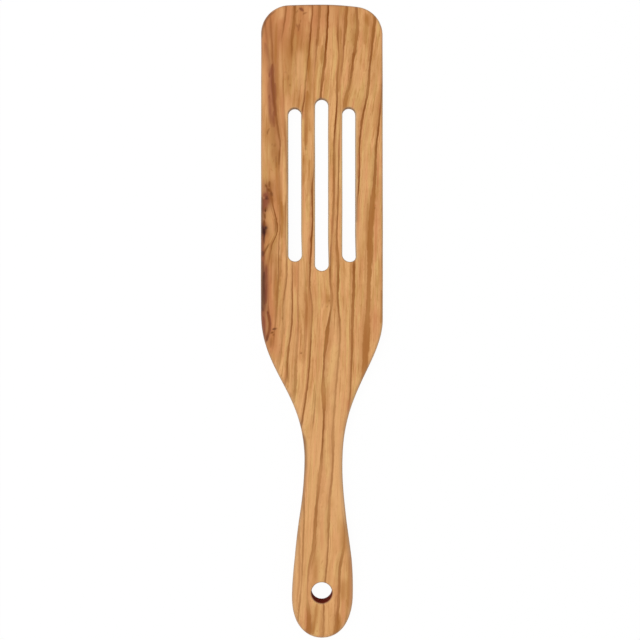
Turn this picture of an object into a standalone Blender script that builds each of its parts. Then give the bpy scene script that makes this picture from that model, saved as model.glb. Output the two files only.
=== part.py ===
"""Slotted spurtle, sawn and sanded from one board of olive wood. Metres, +Z up.

The spurtle lies on its flat back. +Y points from the handle to the blade's tip, +X to the
right as the front face is looked at, and the origin is under the middle of the overall box,
on the plane of the back.
"""

import math

import bmesh
import bpy
from mathutils import Vector
from mathutils.geometry import interpolate_bezier

# The outline along the length, from the blade's tip to the end of the handle.
BLADE_LENGTH = 0.162
SHOULDER_LENGTH = 0.0757
HANDLE_FLARE_LENGTH = 0.0699
BUTT_LENGTH = 0.0224

# The outline across the width.
BLADE_WIDTH = 0.0636
NECK_WIDTH = 0.0197
HANDLE_WIDTH = 0.0318
HANDLE_OFFSET = 0.0005

# The blade's end. Its edge bulges a little, and was sanded further down on the right: the slopes
# are how steeply it falls where it runs into each corner, in degrees.
CORNER_RADIUS = 0.0149
LEFT_TIP_SLOPE = 2.2
RIGHT_TIP_SLOPE = 7.6

# How far each end of a curved stretch keeps its direction, as a share of that stretch.
SHOULDER_PULL = 0.36
NECK_PULL_UP = 0.487
NECK_PULL_DOWN = 0.354
FLARE_PULL = 0.333
BUTT_SIDE_PULL = 0.65
BUTT_END_PULL = 0.573

# The thickness. The handle keeps its thickness, and the front of the blade is planed to a wedge
# that starts a little above the neck and eases in.
HANDLE_THICKNESS = 0.009
TIP_THICKNESS = 0.003
WEDGE_START_ABOVE_NECK = 0.0157
WEDGE_EASING = 0.06

# How far the edges are rounded over, and the share of a thin wall that stays straight.
BLADE_EDGE_RADIUS = 0.0012
HANDLE_EDGE_RADIUS = 0.0028
SLOT_EDGE_RADIUS = 0.0006
HOLE_EDGE_RADIUS = 0.0007
LEAST_WALL_SHARE = 0.14

# The three slots, side by side, all centred on one line across the blade.
SLOT_WIDTH = 0.0068
SLOT_PITCH = 0.0141
SLOT_LENGTHS = (0.0798, 0.0896, 0.0802)
SLOT_CENTRE_FROM_TIP = 0.094

# The hole that the spurtle hangs by.
HANG_HOLE_DIAMETER = 0.0108
HANG_HOLE_FROM_END = 0.0241
HANG_HOLE_OFFSET = -0.0001

# How finely the curves are cut into straight runs.
CORNER_STEPS = 10
TIP_STEPS = 6
BLADE_SIDE_STEPS = 14
CURVE_STEPS = 16
BUTT_STEPS = 12
SLOT_END_STEPS = 10
SLOT_SIDE_STEPS = 5
HOLE_STEPS = 32
OUTER_EDGE_STEPS = 4
INNER_EDGE_STEPS = 3
SHARP_ANGLE = 40

# Oiled olive wood.
WOOD_COLOUR = (0.61, 0.30, 0.11, 1.0)
WOOD_ROUGHNESS = 0.5

TIP_Y = (BLADE_LENGTH + SHOULDER_LENGTH + HANDLE_FLARE_LENGTH + BUTT_LENGTH) / 2
SHOULDER_Y = TIP_Y - BLADE_LENGTH
NECK_Y = SHOULDER_Y - SHOULDER_LENGTH
WIDEST_Y = NECK_Y - HANDLE_FLARE_LENGTH
END_Y = WIDEST_Y - BUTT_LENGTH
WEDGE_Y = NECK_Y + WEDGE_START_ABOVE_NECK


def smooth_step(low, high, value):
    """0 up to low, 1 from high on, and an even S between them."""
    share = min(max((value - low) / (high - low), 0.0), 1.0)
    return share * share * (3 - 2 * share)


def front_height(y):
    """Height of the front face above the back: flat on the handle, then a wedge down to the tip."""
    slope = (HANDLE_THICKNESS - TIP_THICKNESS) / (TIP_Y - WEDGE_Y - WEDGE_EASING / 2)
    along = y - WEDGE_Y
    if along <= 0:
        return HANDLE_THICKNESS
    if along < WEDGE_EASING:
        return HANDLE_THICKNESS - slope * along * along / (2 * WEDGE_EASING)
    return HANDLE_THICKNESS - slope * (along - WEDGE_EASING / 2)


def outer_edge_radius(y):
    """The rounding of the outline's edge: small on the blade, fuller on the handle."""
    handle_share = 1 - smooth_step(NECK_Y, SHOULDER_Y, y)
    return BLADE_EDGE_RADIUS + (HANDLE_EDGE_RADIUS - BLADE_EDGE_RADIUS) * handle_share


def curve(start, start_handle, end_handle, end, steps):
    """Points of one Bezier stretch, without its last point."""
    knots = (Vector(start), Vector(start_handle), Vector(end_handle), Vector(end))
    return interpolate_bezier(*knots, steps + 1)[:-1]


def arc(centre, radius, start_angle, end_angle, steps):
    """Points of an arc, in degrees counterclockwise, without its last point."""
    angles = [
        math.radians(start_angle + (end_angle - start_angle) * i / steps) for i in range(steps)
    ]
    return [centre + radius * Vector((math.cos(a), math.sin(a))) for a in angles]


def side_of_outline(side, tip_slope):
    """One side of the outline, from the middle of the tip to the middle of the handle's end.

    side is +1 for the right side and -1 for the left one. The tip's edge is a parabola that
    meets the corner's arc at the tip's slope.
    """
    half_blade = BLADE_WIDTH / 2
    half_handle = HANDLE_WIDTH / 2
    slope = math.radians(tip_slope)
    corner_x = half_blade - CORNER_RADIUS
    tip_reach = corner_x + CORNER_RADIUS * math.sin(slope)
    tip_fall = tip_reach * math.tan(slope) / 2
    corner_y = TIP_Y - tip_fall - CORNER_RADIUS * math.cos(slope)
    points = []
    for i in range(TIP_STEPS):
        x = tip_reach * i / TIP_STEPS
        points.append(Vector((side * x, TIP_Y - tip_fall * (x / tip_reach) ** 2)))
    centre = Vector((corner_x, corner_y))
    for point in arc(centre, CORNER_RADIUS, 90 - tip_slope, 0, CORNER_STEPS):
        points.append(Vector((side * point.x, point.y)))
    for i in range(BLADE_SIDE_STEPS):
        y = corner_y + (SHOULDER_Y - corner_y) * i / BLADE_SIDE_STEPS
        points.append(Vector((side * half_blade, y)))
    neck_x = HANDLE_OFFSET + side * NECK_WIDTH / 2
    handle_x = HANDLE_OFFSET + side * half_handle
    points += curve(
        (side * half_blade, SHOULDER_Y),
        (side * half_blade, SHOULDER_Y - SHOULDER_PULL * SHOULDER_LENGTH),
        (neck_x, NECK_Y + NECK_PULL_UP * SHOULDER_LENGTH),
        (neck_x, NECK_Y),
        CURVE_STEPS,
    )
    points += curve(
        (neck_x, NECK_Y),
        (neck_x, NECK_Y - NECK_PULL_DOWN * HANDLE_FLARE_LENGTH),
        (handle_x, WIDEST_Y + FLARE_PULL * HANDLE_FLARE_LENGTH),
        (handle_x, WIDEST_Y),
        CURVE_STEPS,
    )
    points += curve(
        (handle_x, WIDEST_Y),
        (handle_x, WIDEST_Y - BUTT_SIDE_PULL * BUTT_LENGTH),
        (HANDLE_OFFSET + side * BUTT_END_PULL * half_handle, END_Y),
        (HANDLE_OFFSET, END_Y),
        BUTT_STEPS,
    )
    points.append(Vector((HANDLE_OFFSET, END_Y)))
    return points


def outline():
    """The whole outline, clockwise from the middle of the tip as the front is looked at."""
    right = side_of_outline(1, RIGHT_TIP_SLOPE)
    left = side_of_outline(-1, LEFT_TIP_SLOPE)
    return right + left[-2:0:-1]


def slot(x, length):
    """The outline of one slot with round ends, counterclockwise, centred on the slots' line."""
    y = TIP_Y - SLOT_CENTRE_FROM_TIP
    radius = SLOT_WIDTH / 2
    reach = length / 2 - radius
    points = arc(Vector((x, y + reach)), radius, 0, 180, SLOT_END_STEPS)
    for i in range(SLOT_SIDE_STEPS):
        points.append(Vector((x - radius, y + reach - 2 * reach * i / SLOT_SIDE_STEPS)))
    points += arc(Vector((x, y - reach)), radius, 180, 360, SLOT_END_STEPS)
    for i in range(SLOT_SIDE_STEPS):
        points.append(Vector((x + radius, y - reach + 2 * reach * i / SLOT_SIDE_STEPS)))
    return points


def hang_hole():
    """The outline of the round hole near the handle's end, counterclockwise."""
    centre = Vector((HANG_HOLE_OFFSET, END_Y + HANG_HOLE_FROM_END))
    return arc(centre, HANG_HOLE_DIAMETER / 2, 0, 360, HOLE_STEPS)


def into_the_wood(loop):
    """For each point of a loop, the direction that leads from its edge into the wood.

    The wood lies to the right of a clockwise outline, and of a counterclockwise hole too.
    """
    directions = []
    for i, point in enumerate(loop):
        run = (loop[(i + 1) % len(loop)] - point).normalized() + (point - loop[i - 1]).normalized()
        directions.append(Vector((run.y, -run.x)).normalized())
    return directions


def add_edge(bm, loop, radius_at, steps):
    """Lofts the side wall of one loop, with both of its edges rounded over.

    Returns the edges where the rounding meets the back face and the front face.
    """
    directions = into_the_wood(loop)
    levels = [(i, False) for i in range(steps, -1, -1)] + [(i, True) for i in range(steps + 1)]
    rings = []
    for step, on_front in levels:
        angle = math.pi / 2 * step / steps
        ring = []
        for point, direction in zip(loop, directions):
            radius = radius_at(point.y)
            room = front_height(point.y) * (1 - LEAST_WALL_SHARE) / 2
            drop = min(radius, room) * (1 - math.sin(angle))
            place = point + direction * radius * (1 - math.cos(angle))
            height = front_height(place.y) - drop if on_front else drop
            ring.append(bm.verts.new((place.x, place.y, height)))
        rings.append(ring)
    loops = [[bm.edges.new((a, b)) for a, b in zip(ring, ring[1:] + ring[:1])] for ring in rings]
    for lower, upper in zip(loops, loops[1:]):
        bmesh.ops.bridge_loops(bm, edges=lower + upper)
    return loops[0], loops[-1]


def fill_face(bm, edges, normal):
    """Fills the flat between the outline's edge and the edges of the slots and the hole."""
    filled = bmesh.ops.triangle_fill(bm, use_beauty=True, edges=edges, normal=normal)["geom"]
    return [item for item in filled if isinstance(item, bmesh.types.BMFace)]


def follow_the_wedge(bm, faces):
    """Cuts the front face across where the wedge eases in, and lays the cuts on its curve.

    Each cut falls midway between two neighbouring points of the outline, clear of both.
    """
    side = side_of_outline(1, RIGHT_TIP_SLOPE)
    middles = [(above.y + below.y) / 2 for above, below in zip(side, side[1:])]
    for y in [y for y in middles if WEDGE_Y < y < WEDGE_Y + WEDGE_EASING]:
        geometry = set(faces)
        for face in faces:
            geometry.update(face.edges, face.verts)
        cut = bmesh.ops.bisect_plane(bm, geom=list(geometry), plane_co=(0, y, 0), plane_no=(0, 1, 0))
        faces = [item for item in cut["geom"] if isinstance(item, bmesh.types.BMFace)]
        for item in cut["geom_cut"]:
            if isinstance(item, bmesh.types.BMVert):
                item.co.z = front_height(item.co.y)


def wood_material():
    """Olive wood, oiled."""
    material = bpy.data.materials.new("olive_wood")
    material.use_nodes = True
    shader = material.node_tree.nodes["Principled BSDF"]
    shader.inputs["Base Color"].default_value = WOOD_COLOUR
    shader.inputs["Roughness"].default_value = WOOD_ROUGHNESS
    shader.inputs["Metallic"].default_value = 0.0
    return material


def build_spurtle():
    """The whole spurtle, one piece of wood with its slots and its hole cut through."""
    bm = bmesh.new()
    loops = [(outline(), outer_edge_radius, OUTER_EDGE_STEPS)]
    for i, length in enumerate(SLOT_LENGTHS):
        x = (i - (len(SLOT_LENGTHS) - 1) / 2) * SLOT_PITCH
        loops.append((slot(x, length), lambda y: SLOT_EDGE_RADIUS, INNER_EDGE_STEPS))
    loops.append((hang_hole(), lambda y: HOLE_EDGE_RADIUS, INNER_EDGE_STEPS))
    back_edges = []
    front_edges = []
    for loop, radius_at, steps in loops:
        back, front = add_edge(bm, loop, radius_at, steps)
        back_edges += back
        front_edges += front
    fill_face(bm, back_edges, (0, 0, -1))
    follow_the_wedge(bm, fill_face(bm, front_edges, (0, 0, 1)))
    bmesh.ops.triangulate(bm, faces=bm.faces)
    bmesh.ops.recalc_face_normals(bm, faces=bm.faces)
    mesh = bpy.data.meshes.new("spurtle")
    bm.to_mesh(mesh)
    bm.free()
    mesh.shade_smooth()
    mesh.set_sharp_from_angle(angle=math.radians(SHARP_ANGLE))
    mesh.materials.append(wood_material())
    spurtle = bpy.data.objects.new("spurtle", mesh)
    bpy.context.scene.collection.objects.link(spurtle)
    return spurtle


def main():
    for old in list(bpy.data.objects):
        bpy.data.objects.remove(old)
    build_spurtle()


main()
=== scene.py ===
"""Looks of the slotted spurtle, a paddle sawn, routed and sanded from one board of olive wood.

Lengths are in millimetres until a finished mesh is scaled to metres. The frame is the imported
model's own: the board lies on its back, +Y points to the blade's tip and +Z out of the front.
"""

from __future__ import annotations

import logging
import math
from dataclasses import dataclass, field
from enum import Enum
from functools import partial
from typing import Any, Callable

import bmesh
import bpy
import numpy as np
from mathutils import Matrix, Vector, noise
from mathutils.geometry import interpolate_bezier
from mathutils.kdtree import KDTree


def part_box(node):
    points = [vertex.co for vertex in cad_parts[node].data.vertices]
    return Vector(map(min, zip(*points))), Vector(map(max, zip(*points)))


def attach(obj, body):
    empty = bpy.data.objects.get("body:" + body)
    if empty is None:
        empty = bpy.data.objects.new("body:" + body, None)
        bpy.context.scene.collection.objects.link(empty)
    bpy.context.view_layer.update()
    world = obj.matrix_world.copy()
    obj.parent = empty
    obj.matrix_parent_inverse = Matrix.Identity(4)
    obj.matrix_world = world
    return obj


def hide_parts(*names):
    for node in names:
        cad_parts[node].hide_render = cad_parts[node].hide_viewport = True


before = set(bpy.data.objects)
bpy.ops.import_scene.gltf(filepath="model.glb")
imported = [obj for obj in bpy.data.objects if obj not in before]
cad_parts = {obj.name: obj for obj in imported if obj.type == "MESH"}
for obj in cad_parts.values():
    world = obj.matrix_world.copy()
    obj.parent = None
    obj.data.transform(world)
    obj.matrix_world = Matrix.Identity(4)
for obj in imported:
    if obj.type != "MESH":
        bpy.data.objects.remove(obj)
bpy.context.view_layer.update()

LOG = logging.getLogger("spurtle")
MM = 0.001
WHITE = "FFFFFF"
NodeTree = bpy.types.NodeTree
Socket = bpy.types.NodeSocket


def linear(code: str) -> tuple[float, float, float, float]:
    """Turns an sRGB hex colour to the linear colour that a shader takes.

    Args:
        code: Six hex digits, such as "D9A56A".

    Returns:
        Linear red, green and blue, and an alpha of 1.
    """
    parts = [int(code[i : i + 2], 16) / 255 for i in (0, 2, 4)]
    red, green, blue = (p / 12.92 if p <= 0.04045 else ((p + 0.055) / 1.055) ** 2.4 for p in parts)
    return red, green, blue, 1.0


def ease(low: float, high: float, value: float) -> float:
    """An even S from 0 at low to 1 at high.

    Args:
        low: Where the S starts.
        high: Where it ends.
        value: The place that is asked for.

    Returns:
        A share from 0 to 1.
    """
    share = min(max((value - low) / (high - low), 0.0), 1.0)
    return share * share * (3 - 2 * share)


def add_node(
    tree: NodeTree,
    kind: str,
    inputs: list[Any] | dict[int | str, Any],
    output: int | str = 0,
    **settings: Any,
) -> Socket | None:
    """Adds one node with its settings, and links or sets its inputs.

    Args:
        tree: The material's or world's node tree.
        kind: The node's type name, without the ShaderNode in front.
        inputs: Values or sockets to link, in the order of the node's inputs, or by their names.
        output: The output socket to return, by number or name.
        **settings: Properties of the node and their values.

    Returns:
        The asked output socket, or None where the node has no outputs.
    """
    node = tree.nodes.new("ShaderNode" + kind)
    for name, value in settings.items():
        setattr(node, name, value)
    for key, value in inputs.items() if isinstance(inputs, dict) else enumerate(inputs):
        if isinstance(value, Socket):
            tree.links.new(value, node.inputs[key])
        else:
            node.inputs[key].default_value = value
    return node.outputs[output] if node.outputs else None


def empty_material(name: str) -> tuple[bpy.types.Material, NodeTree]:
    """Makes a material without nodes.

    Args:
        name: What the real material is.

    Returns:
        The material and its node tree.
    """
    material = bpy.data.materials.new(name)
    material.use_nodes = True
    material.node_tree.nodes.clear()
    return material, material.node_tree


def place_object(name: str, data: bpy.types.ID) -> bpy.types.Object:
    """Puts a mesh, a light or a camera into the scene, at the origin.

    Args:
        name: The object's name.
        data: What the object shows.

    Returns:
        The object.
    """
    placed = bpy.data.objects.new(name, data)
    bpy.context.scene.collection.objects.link(placed)
    return placed


@dataclass(frozen=True)
class PhotoScale:
    """Turns a place read in the photograph, in its pixels, to the board's frame.

    Attributes:
        mm_per_pixel: Millimetres of the board to one pixel.
        middle_x: The board's middle in the photograph, from its left side.
        middle_y: The same from the photograph's top.
        height: The photograph's height.
    """

    mm_per_pixel: float = 0.5213
    middle_x: float = 321.95
    middle_y: float = 320.97
    height: int = 640

    def x(self, pixel: float) -> float:
        """Millimetres to the right of the board's middle."""
        return (pixel - self.middle_x) * self.mm_per_pixel

    def y(self, pixel: float) -> float:
        """Millimetres from the board's middle towards the tip."""
        return (self.middle_y - pixel) * self.mm_per_pixel


@dataclass(frozen=True)
class GrowthLine:
    """One growth ring's dark line, where it shows on the front face.

    route holds the line's places from the tip down, as (x, y) in the photograph's pixels, also
    where the line itself fades, because the fibres beside it follow the same way. ink holds how
    it shows along that way, as (y in pixels, half width in millimetres, darkness from 0 to 1).
    soft_side is 1 where the line fades out to the right, and -1 where it does to the left.
    """

    name: str
    route: tuple[tuple[float, float], ...]
    ink: tuple[tuple[float, float, float], ...]
    soft_side: float = -1.0


class Stain(Enum):
    """Colours that the heartwood and the knot bring to the wood around them, also laid along a few
    edges as painted shade and painted light.
    """

    ROSE = 0
    HEART = 1
    UMBER = 2
    INK = 3
    SOOT = 4
    PALE = 5


ROSE, HEART, UMBER, INK, SOOT, PALE = Stain


@dataclass(frozen=True)
class Stroke:
    """A short stained streak, line or speck; a few are lines of painted shade and painted light
    along the board's edges.

    Its route is in the photograph's pixels, from end to end, and its half width in millimetres.
    Its strength is the share of the wood's own colour that it covers, and covers more widely
    above 1.
    """

    name: str
    route: tuple[tuple[float, float], ...]
    half_width: float
    tint: Stain
    strength: float


@dataclass(frozen=True)
class Patch:
    """A stained spot, soft at its sides; one is a spot of painted light on an edge.

    Its place and reach are in the photograph's pixels, and its strength is as a Stroke's.
    """

    name: str
    x: float
    y: float
    reach_x: float
    reach_y: float
    tint: Stain
    strength: float


GROWTH_LINES = (
    GrowthLine(
        "knot side",
        ((263, 8), (265.5, 40), (267, 66), (268, 92), (269, 150), (270, 175), (270.8, 190),
         (272, 197), (273.2, 206), (277.4, 220), (278.8, 226), (278.4, 232), (276.2, 238),
         (272.4, 243), (270.6, 254), (269.2, 261), (269, 312), (270.2, 322), (269.8, 330),
         (268, 336), (265, 350), (262, 400), (266, 440), (274, 480), (278, 520), (278, 634)),
        ((185, 0.5, 0), (190, 0.5, 0.5), (196, 0.8, 0.8), (206, 0.8, 0.7), (214, 0.6, 0.8),
         (220, 0.8, 1), (232, 0.85, 1), (238, 0.6, 0.85), (243, 0.55, 0.7), (256, 0.5, 0.6),
         (266, 0.4, 0.3), (300, 0.4, 0.2), (312, 0.5, 0.7), (328, 0.7, 0.8), (336, 0.6, 0.5),
         (345, 0.5, 0)),
    ),
    GrowthLine(
        "heart",
        ((270.5, 8), (271, 30), (272.4, 50), (273.2, 92), (274, 102), (279.4, 136), (280.6, 146),
         (279.6, 156), (279.2, 166), (280, 215), (278.9, 255), (279, 275), (275.5, 325),
         (273.5, 345), (271, 360), (269, 400), (272, 440), (280, 480), (284, 520), (284, 634)),
        ((8, 0.5, 0.2), (40, 0.6, 0.35), (62, 0.6, 0.4), (75, 0.7, 0.3), (107, 0.6, 0.3),
         (120, 0.6, 0.5), (135, 0.6, 0.5), (148, 0.5, 0.5), (158, 0.5, 0.6), (170, 0.4, 0.3),
         (200, 0.4, 0.3), (235, 0.4, 0.5), (255, 0.4, 0.7), (272, 0.4, 0.6), (290, 0.8, 0.6),
         (305, 0.9, 0.6), (322, 0.7, 0.5), (340, 0.5, 0.3), (360, 0.5, 0)),
    ),
    GrowthLine(
        "beside the heart",
        ((286.3, 8), (285.8, 14), (281, 46), (281.5, 58), (283, 72), (283.5, 92), (284.4, 115),
         (286, 134), (287.4, 168), (287.7, 180), (286, 205), (285.6, 225), (287.3, 266), (287, 280),
         (284.8, 293), (283, 305), (283.2, 325), (281.8, 346), (279.8, 361), (276, 385), (275, 410),
         (278, 440), (286, 480), (290, 520), (290, 634)),
        ((8, 0.6, 0.6), (20, 0.6, 0.7), (32, 0.5, 0.5), (40, 0.5, 0.2), (46, 0.4, 0),
         (58, 0.4, 0.05), (92, 0.4, 0.3), (115, 0.4, 0.2), (125, 0.8, 0.5), (140, 0.9, 0.6),
         (162, 0.8, 0.6), (168, 0.5, 0.9), (182, 0.5, 0.7), (190, 0.4, 0.3), (205, 0.4, 0.6),
         (215, 0.4, 0.4), (245, 0.4, 0.4), (255, 0.45, 0.6), (280, 0.45, 0.6), (297, 0.4, 0.5),
         (325, 0.6, 0.35), (346, 0.7, 0.45), (361, 0.7, 0.4), (375, 0.4, 0)),
    ),
    GrowthLine(
        "left slot",
        ((294.7, 6), (294.6, 15), (292.4, 35), (291.6, 44), (291.8, 54), (291.5, 80), (291.5, 220),
         (292.6, 264), (292.5, 285), (292.7, 305), (292.3, 322), (290.9, 334), (288.9, 346),
         (287.6, 361), (287, 375), (282.5, 400), (285, 440), (291, 480), (294, 520), (293.5, 560),
         (293, 634)),
        ((6, 0.7, 0.9), (15, 0.8, 0.8), (26, 1, 0.75), (36, 0.9, 0.7), (46, 0.6, 0.7),
         (54, 0.5, 0.5), (60, 0.4, 0), (258, 0.4, 0), (266, 0.7, 0.5), (275, 0.4, 0.5),
         (285, 0.45, 0.8), (302, 0.45, 0.85), (346, 0.6, 0.75), (361, 0.7, 0.7), (375, 0.6, 0.6),
         (388, 0.4, 0.3), (400, 0.4, 0)),
    ),
    GrowthLine(
        "left slot's right side",
        ((303.5, 8), (299.5, 90), (298, 110), (297.5, 150), (298.8, 262), (298.2, 295),
         (298.5, 322), (298, 338), (296, 361), (295.7, 382), (294.8, 397), (292, 420), (292.5, 450),
         (295.5, 480), (296.3, 522), (295.5, 560), (295, 634)),
        ((8, 0.5, 0.1), (60, 0.4, 0.15), (90, 0.4, 0.2), (290, 0.4, 0.3), (312, 0.45, 0.5),
         (345, 0.7, 0.4), (361, 0.8, 0.45), (378, 0.9, 0.6), (392, 0.9, 0.65), (399, 0.6, 0.3),
         (404, 0.4, 0)),
    ),
    GrowthLine(
        "thin line left of the middle",
        ((312.7, 5.6), (312.6, 15), (311.2, 25), (310, 43), (309.2, 52), (307, 70), (304.6, 98),
         (302.2, 112), (301.2, 125), (301, 150), (301.8, 200), (303, 250), (305.6, 285),
         (306.4, 300), (306.4, 325), (306, 340), (302.5, 385), (298.5, 410), (296.5, 440),
         (300, 522), (299.8, 582), (297, 600), (294.5, 634)),
        ((5.6, 0.42, 0.7), (25, 0.45, 0.75), (36, 0.55, 0.95), (46, 0.5, 0.9), (58, 0.5, 0.7),
         (66, 0.4, 0.5), (88, 0.4, 0.5), (96, 0.4, 0.7), (105, 0.5, 0.9), (111, 0.5, 0.8),
         (125, 0.3, 0.1), (255, 0.4, 0.1), (298, 0.7, 0.3), (325, 0.7, 0.3), (340, 0.6, 0.4),
         (355, 0.6, 0.25), (370, 0.5, 0.1), (500, 0.4, 0.1), (530, 0.6, 0.35), (575, 0.6, 0.4),
         (590, 0.5, 0.2), (620, 0.3, 0.1)),
    ),
    GrowthLine(
        "web line",
        ((319.6, 6), (319.3, 16), (317.5, 40), (315.4, 62), (314.6, 76), (313.4, 88), (313, 105),
         (313.6, 140), (314.8, 160), (314, 171), (312.9, 182), (312.3, 192), (312.9, 216),
         (312.7, 227), (311.6, 240), (309.5, 284), (310.1, 291), (311.8, 299), (312.5, 308),
         (312.3, 317), (311.2, 332), (310.6, 346), (309.4, 366), (307.9, 382), (305.8, 397),
         (303.8, 409), (302.4, 421), (302, 440), (302.3, 465), (305, 492), (303.1, 550),
         (301.5, 585), (300.2, 600), (298.2, 614), (297, 634)),
        ((6, 0.8, 0.65), (20, 0.8, 0.6), (44, 0.8, 0.6), (58, 0.6, 0.5), (68, 0.5, 0.4),
         (76, 0.5, 0.1), (90, 0.4, 0.05), (150, 0.4, 0.1), (168, 0.4, 0.6), (180, 0.5, 0.7),
         (190, 0.7, 0.9), (204, 0.55, 0.95), (228, 0.55, 1), (250, 0.6, 1), (268, 0.6, 0.85),
         (284, 0.5, 0.75), (297, 0.5, 0.45), (312, 0.5, 0.55), (325, 0.45, 0.45), (335, 0.45, 0.7),
         (348, 0.55, 0.8), (397, 0.6, 0.8), (409, 0.6, 0.85), (420, 0.5, 0.8), (428, 0.45, 0.65),
         (438, 0.3, 0), (485, 0.4, 0.3), (495, 0.55, 0.5), (528, 0.45, 0.6), (545, 0.6, 0.5),
         (574, 0.6, 0.45), (585, 0.5, 0.3), (600, 0.6, 0.5), (614, 0.6, 0.5), (634, 0.5, 0.1)),
    ),
    GrowthLine(
        "middle slot",
        ((328.3, 5.6), (327.3, 31), (326.6, 42), (325.2, 57), (323.6, 71), (321.5, 87), (320.8, 94),
         (319, 130), (318, 170), (317.5, 220), (318.3, 300), (317.5, 340), (315.8, 392),
         (314.2, 414), (313.3, 424), (311.5, 440), (309, 487), (308, 520), (306.5, 550),
         (304.6, 575), (301.5, 634)),
        ((5.6, 0.5, 1), (50, 0.6, 1), (57, 0.7, 0.9), (64, 0.9, 0.85), (80, 0.9, 0.75),
         (87, 0.7, 0.9), (100, 0.6, 0.9), (118, 0.4, 0), (265, 0.4, 0), (285, 0.4, 0.05),
         (385, 0.4, 0.1), (398, 0.45, 0.5), (407, 0.4, 0.35), (415, 0.45, 0.6), (423, 0.4, 0.5),
         (428, 0.4, 0.1), (634, 0.5, 0.1)),
    ),
    GrowthLine(
        "right web's left line",
        ((339.5, 6), (338.4, 20), (337.6, 34), (338.4, 46), (339.4, 56), (337.9, 72), (337, 84),
         (337.5, 96), (337.1, 106), (335.3, 125), (334.3, 144), (334.1, 156), (334.4, 190),
         (334, 205), (331.7, 241), (330.7, 253), (330.1, 264), (330, 275), (330.6, 287),
         (332.2, 297), (331.6, 307), (328.2, 324), (324.5, 354), (323.5, 368), (322.9, 384),
         (323.8, 400), (324, 412), (322.8, 441), (321.4, 461), (316.6, 503), (314.8, 534),
         (313.6, 547), (308.5, 566), (306.8, 592), (308.3, 608), (309.1, 620), (308.6, 634)),
        ((6, 0.8, 0.1), (20, 0.7, 0.3), (30, 0.7, 0.6), (44, 0.5, 0.7), (50, 0.4, 0.2),
         (57, 0.6, 0.3), (64, 0.8, 0.45), (76, 0.9, 0.6), (92, 0.9, 0.75), (100, 0.6, 0.85),
         (112, 0.5, 1), (130, 0.5, 1), (140, 0.6, 0.8), (150, 0.75, 0.7), (195, 0.75, 0.7),
         (215, 0.8, 0.6), (238, 0.7, 0.45), (247, 0.5, 0.6), (256, 0.45, 0.8), (270, 0.5, 0.85),
         (282, 0.5, 0.6), (292, 0.8, 0.5), (300, 0.9, 0.5), (310, 0.6, 0.6), (317, 0.6, 0.9),
         (325, 1, 0.9), (335, 1.2, 0.9), (345, 1.1, 0.85), (354, 0.7, 0.8), (366, 0.55, 0.8),
         (376, 0.7, 0.7), (387, 1.5, 0.65), (400, 1.4, 0.75), (410, 0.8, 0.8), (418, 0.55, 0.85),
         (441, 0.5, 0.85), (452, 0.75, 0.75), (463, 0.9, 0.6), (472, 1.2, 0.5), (487, 1.1, 0.6),
         (495, 0.85, 0.7), (508, 0.9, 0.8), (528, 1.1, 0.75), (547, 1.1, 0.65), (556, 0.9, 0.5),
         (566, 0.9, 0.6), (577, 0.6, 0.5), (592, 0.5, 0.3), (604, 1, 0.5), (614, 1.4, 0.8),
         (634, 1.5, 0.8)),
        soft_side=1.0,
    ),
    GrowthLine(
        "right web's right line",
        ((347, 6), (345.4, 24), (343.4, 50), (343, 60), (341.6, 69), (340.6, 80), (340.8, 110),
         (339.2, 142), (338, 203), (337.5, 216), (336.5, 230), (336.3, 240), (337.9, 260),
         (338.2, 272), (338, 282), (337.3, 292), (337.6, 303), (338.9, 313), (339.8, 323),
         (340, 336), (339.2, 350), (335.4, 392), (333, 426), (332.6, 438), (333.2, 448),
         (332.8, 462), (331.6, 480), (329.6, 496), (328.8, 512), (328.5, 530), (327.7, 551),
         (326.6, 566), (325, 581), (323.8, 595), (323.5, 603), (323.9, 608), (323.1, 634)),
        ((6, 1, 0.8), (24, 1, 0.75), (33, 0.9, 0.8), (39, 0.8, 0.75), (47, 0.6, 0.8),
         (53, 0.4, 0.5), (60, 0.6, 0.5), (72, 0.6, 0.5), (80, 0.4, 0.05), (110, 0.4, 0.15),
         (128, 0.4, 0.4), (145, 0.5, 0.5), (160, 0.5, 0.75), (180, 0.45, 0.8), (192, 0.55, 0.7),
         (206, 0.5, 0.8), (225, 0.55, 0.8), (236, 0.8, 0.75), (246, 0.9, 0.8), (254, 1.3, 0.7),
         (264, 1, 0.75), (276, 0.85, 0.9), (288, 0.8, 0.85), (302, 0.65, 0.7), (312, 0.6, 0.65),
         (320, 0.75, 0.65), (332, 0.65, 0.5), (371, 0.6, 0.5), (405, 0.6, 0.45), (424, 0.6, 0.5),
         (436, 1.1, 0.5), (445, 0.9, 0.55), (452, 0.65, 0.6), (487, 0.65, 0.6), (497, 0.8, 0.55),
         (515, 0.8, 0.55), (530, 0.6, 0.65), (551, 0.5, 0.65), (581, 0.5, 0.65), (600, 0.4, 0.4),
         (604, 0.5, 0.9), (609, 0.6, 0.6), (634, 0.7, 0.4)),
    ),
    GrowthLine(
        "right slot",
        ((356.5, 7), (357.4, 25), (357, 34), (355.8, 42), (355.1, 50), (353.9, 55), (352.9, 61),
         (352.1, 69), (349.7, 88), (346.8, 93), (344.9, 99), (343.7, 105), (343, 112), (343.2, 130),
         (343.4, 220), (344, 262), (345, 300), (345.5, 340), (345, 370), (343.8, 400), (340.6, 440),
         (340, 470), (342, 505), (345.2, 530), (343.8, 548), (340.7, 559), (339.5, 567),
         (339.4, 577), (338.7, 588), (338.5, 602), (336.4, 620), (335.6, 634)),
        ((7, 0.8, 0.75), (16, 0.8, 0.7), (26, 1, 0.7), (36, 1.1, 0.75), (50, 1, 0.75),
         (57, 0.8, 0.9), (68, 0.8, 0.9), (76, 0.7, 0.7), (85, 0.6, 0.6), (91, 0.9, 0.6),
         (97, 1.4, 0.7), (105, 1.6, 0.75), (112, 1, 0.4), (125, 0.4, 0), (262, 0.4, 0),
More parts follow.
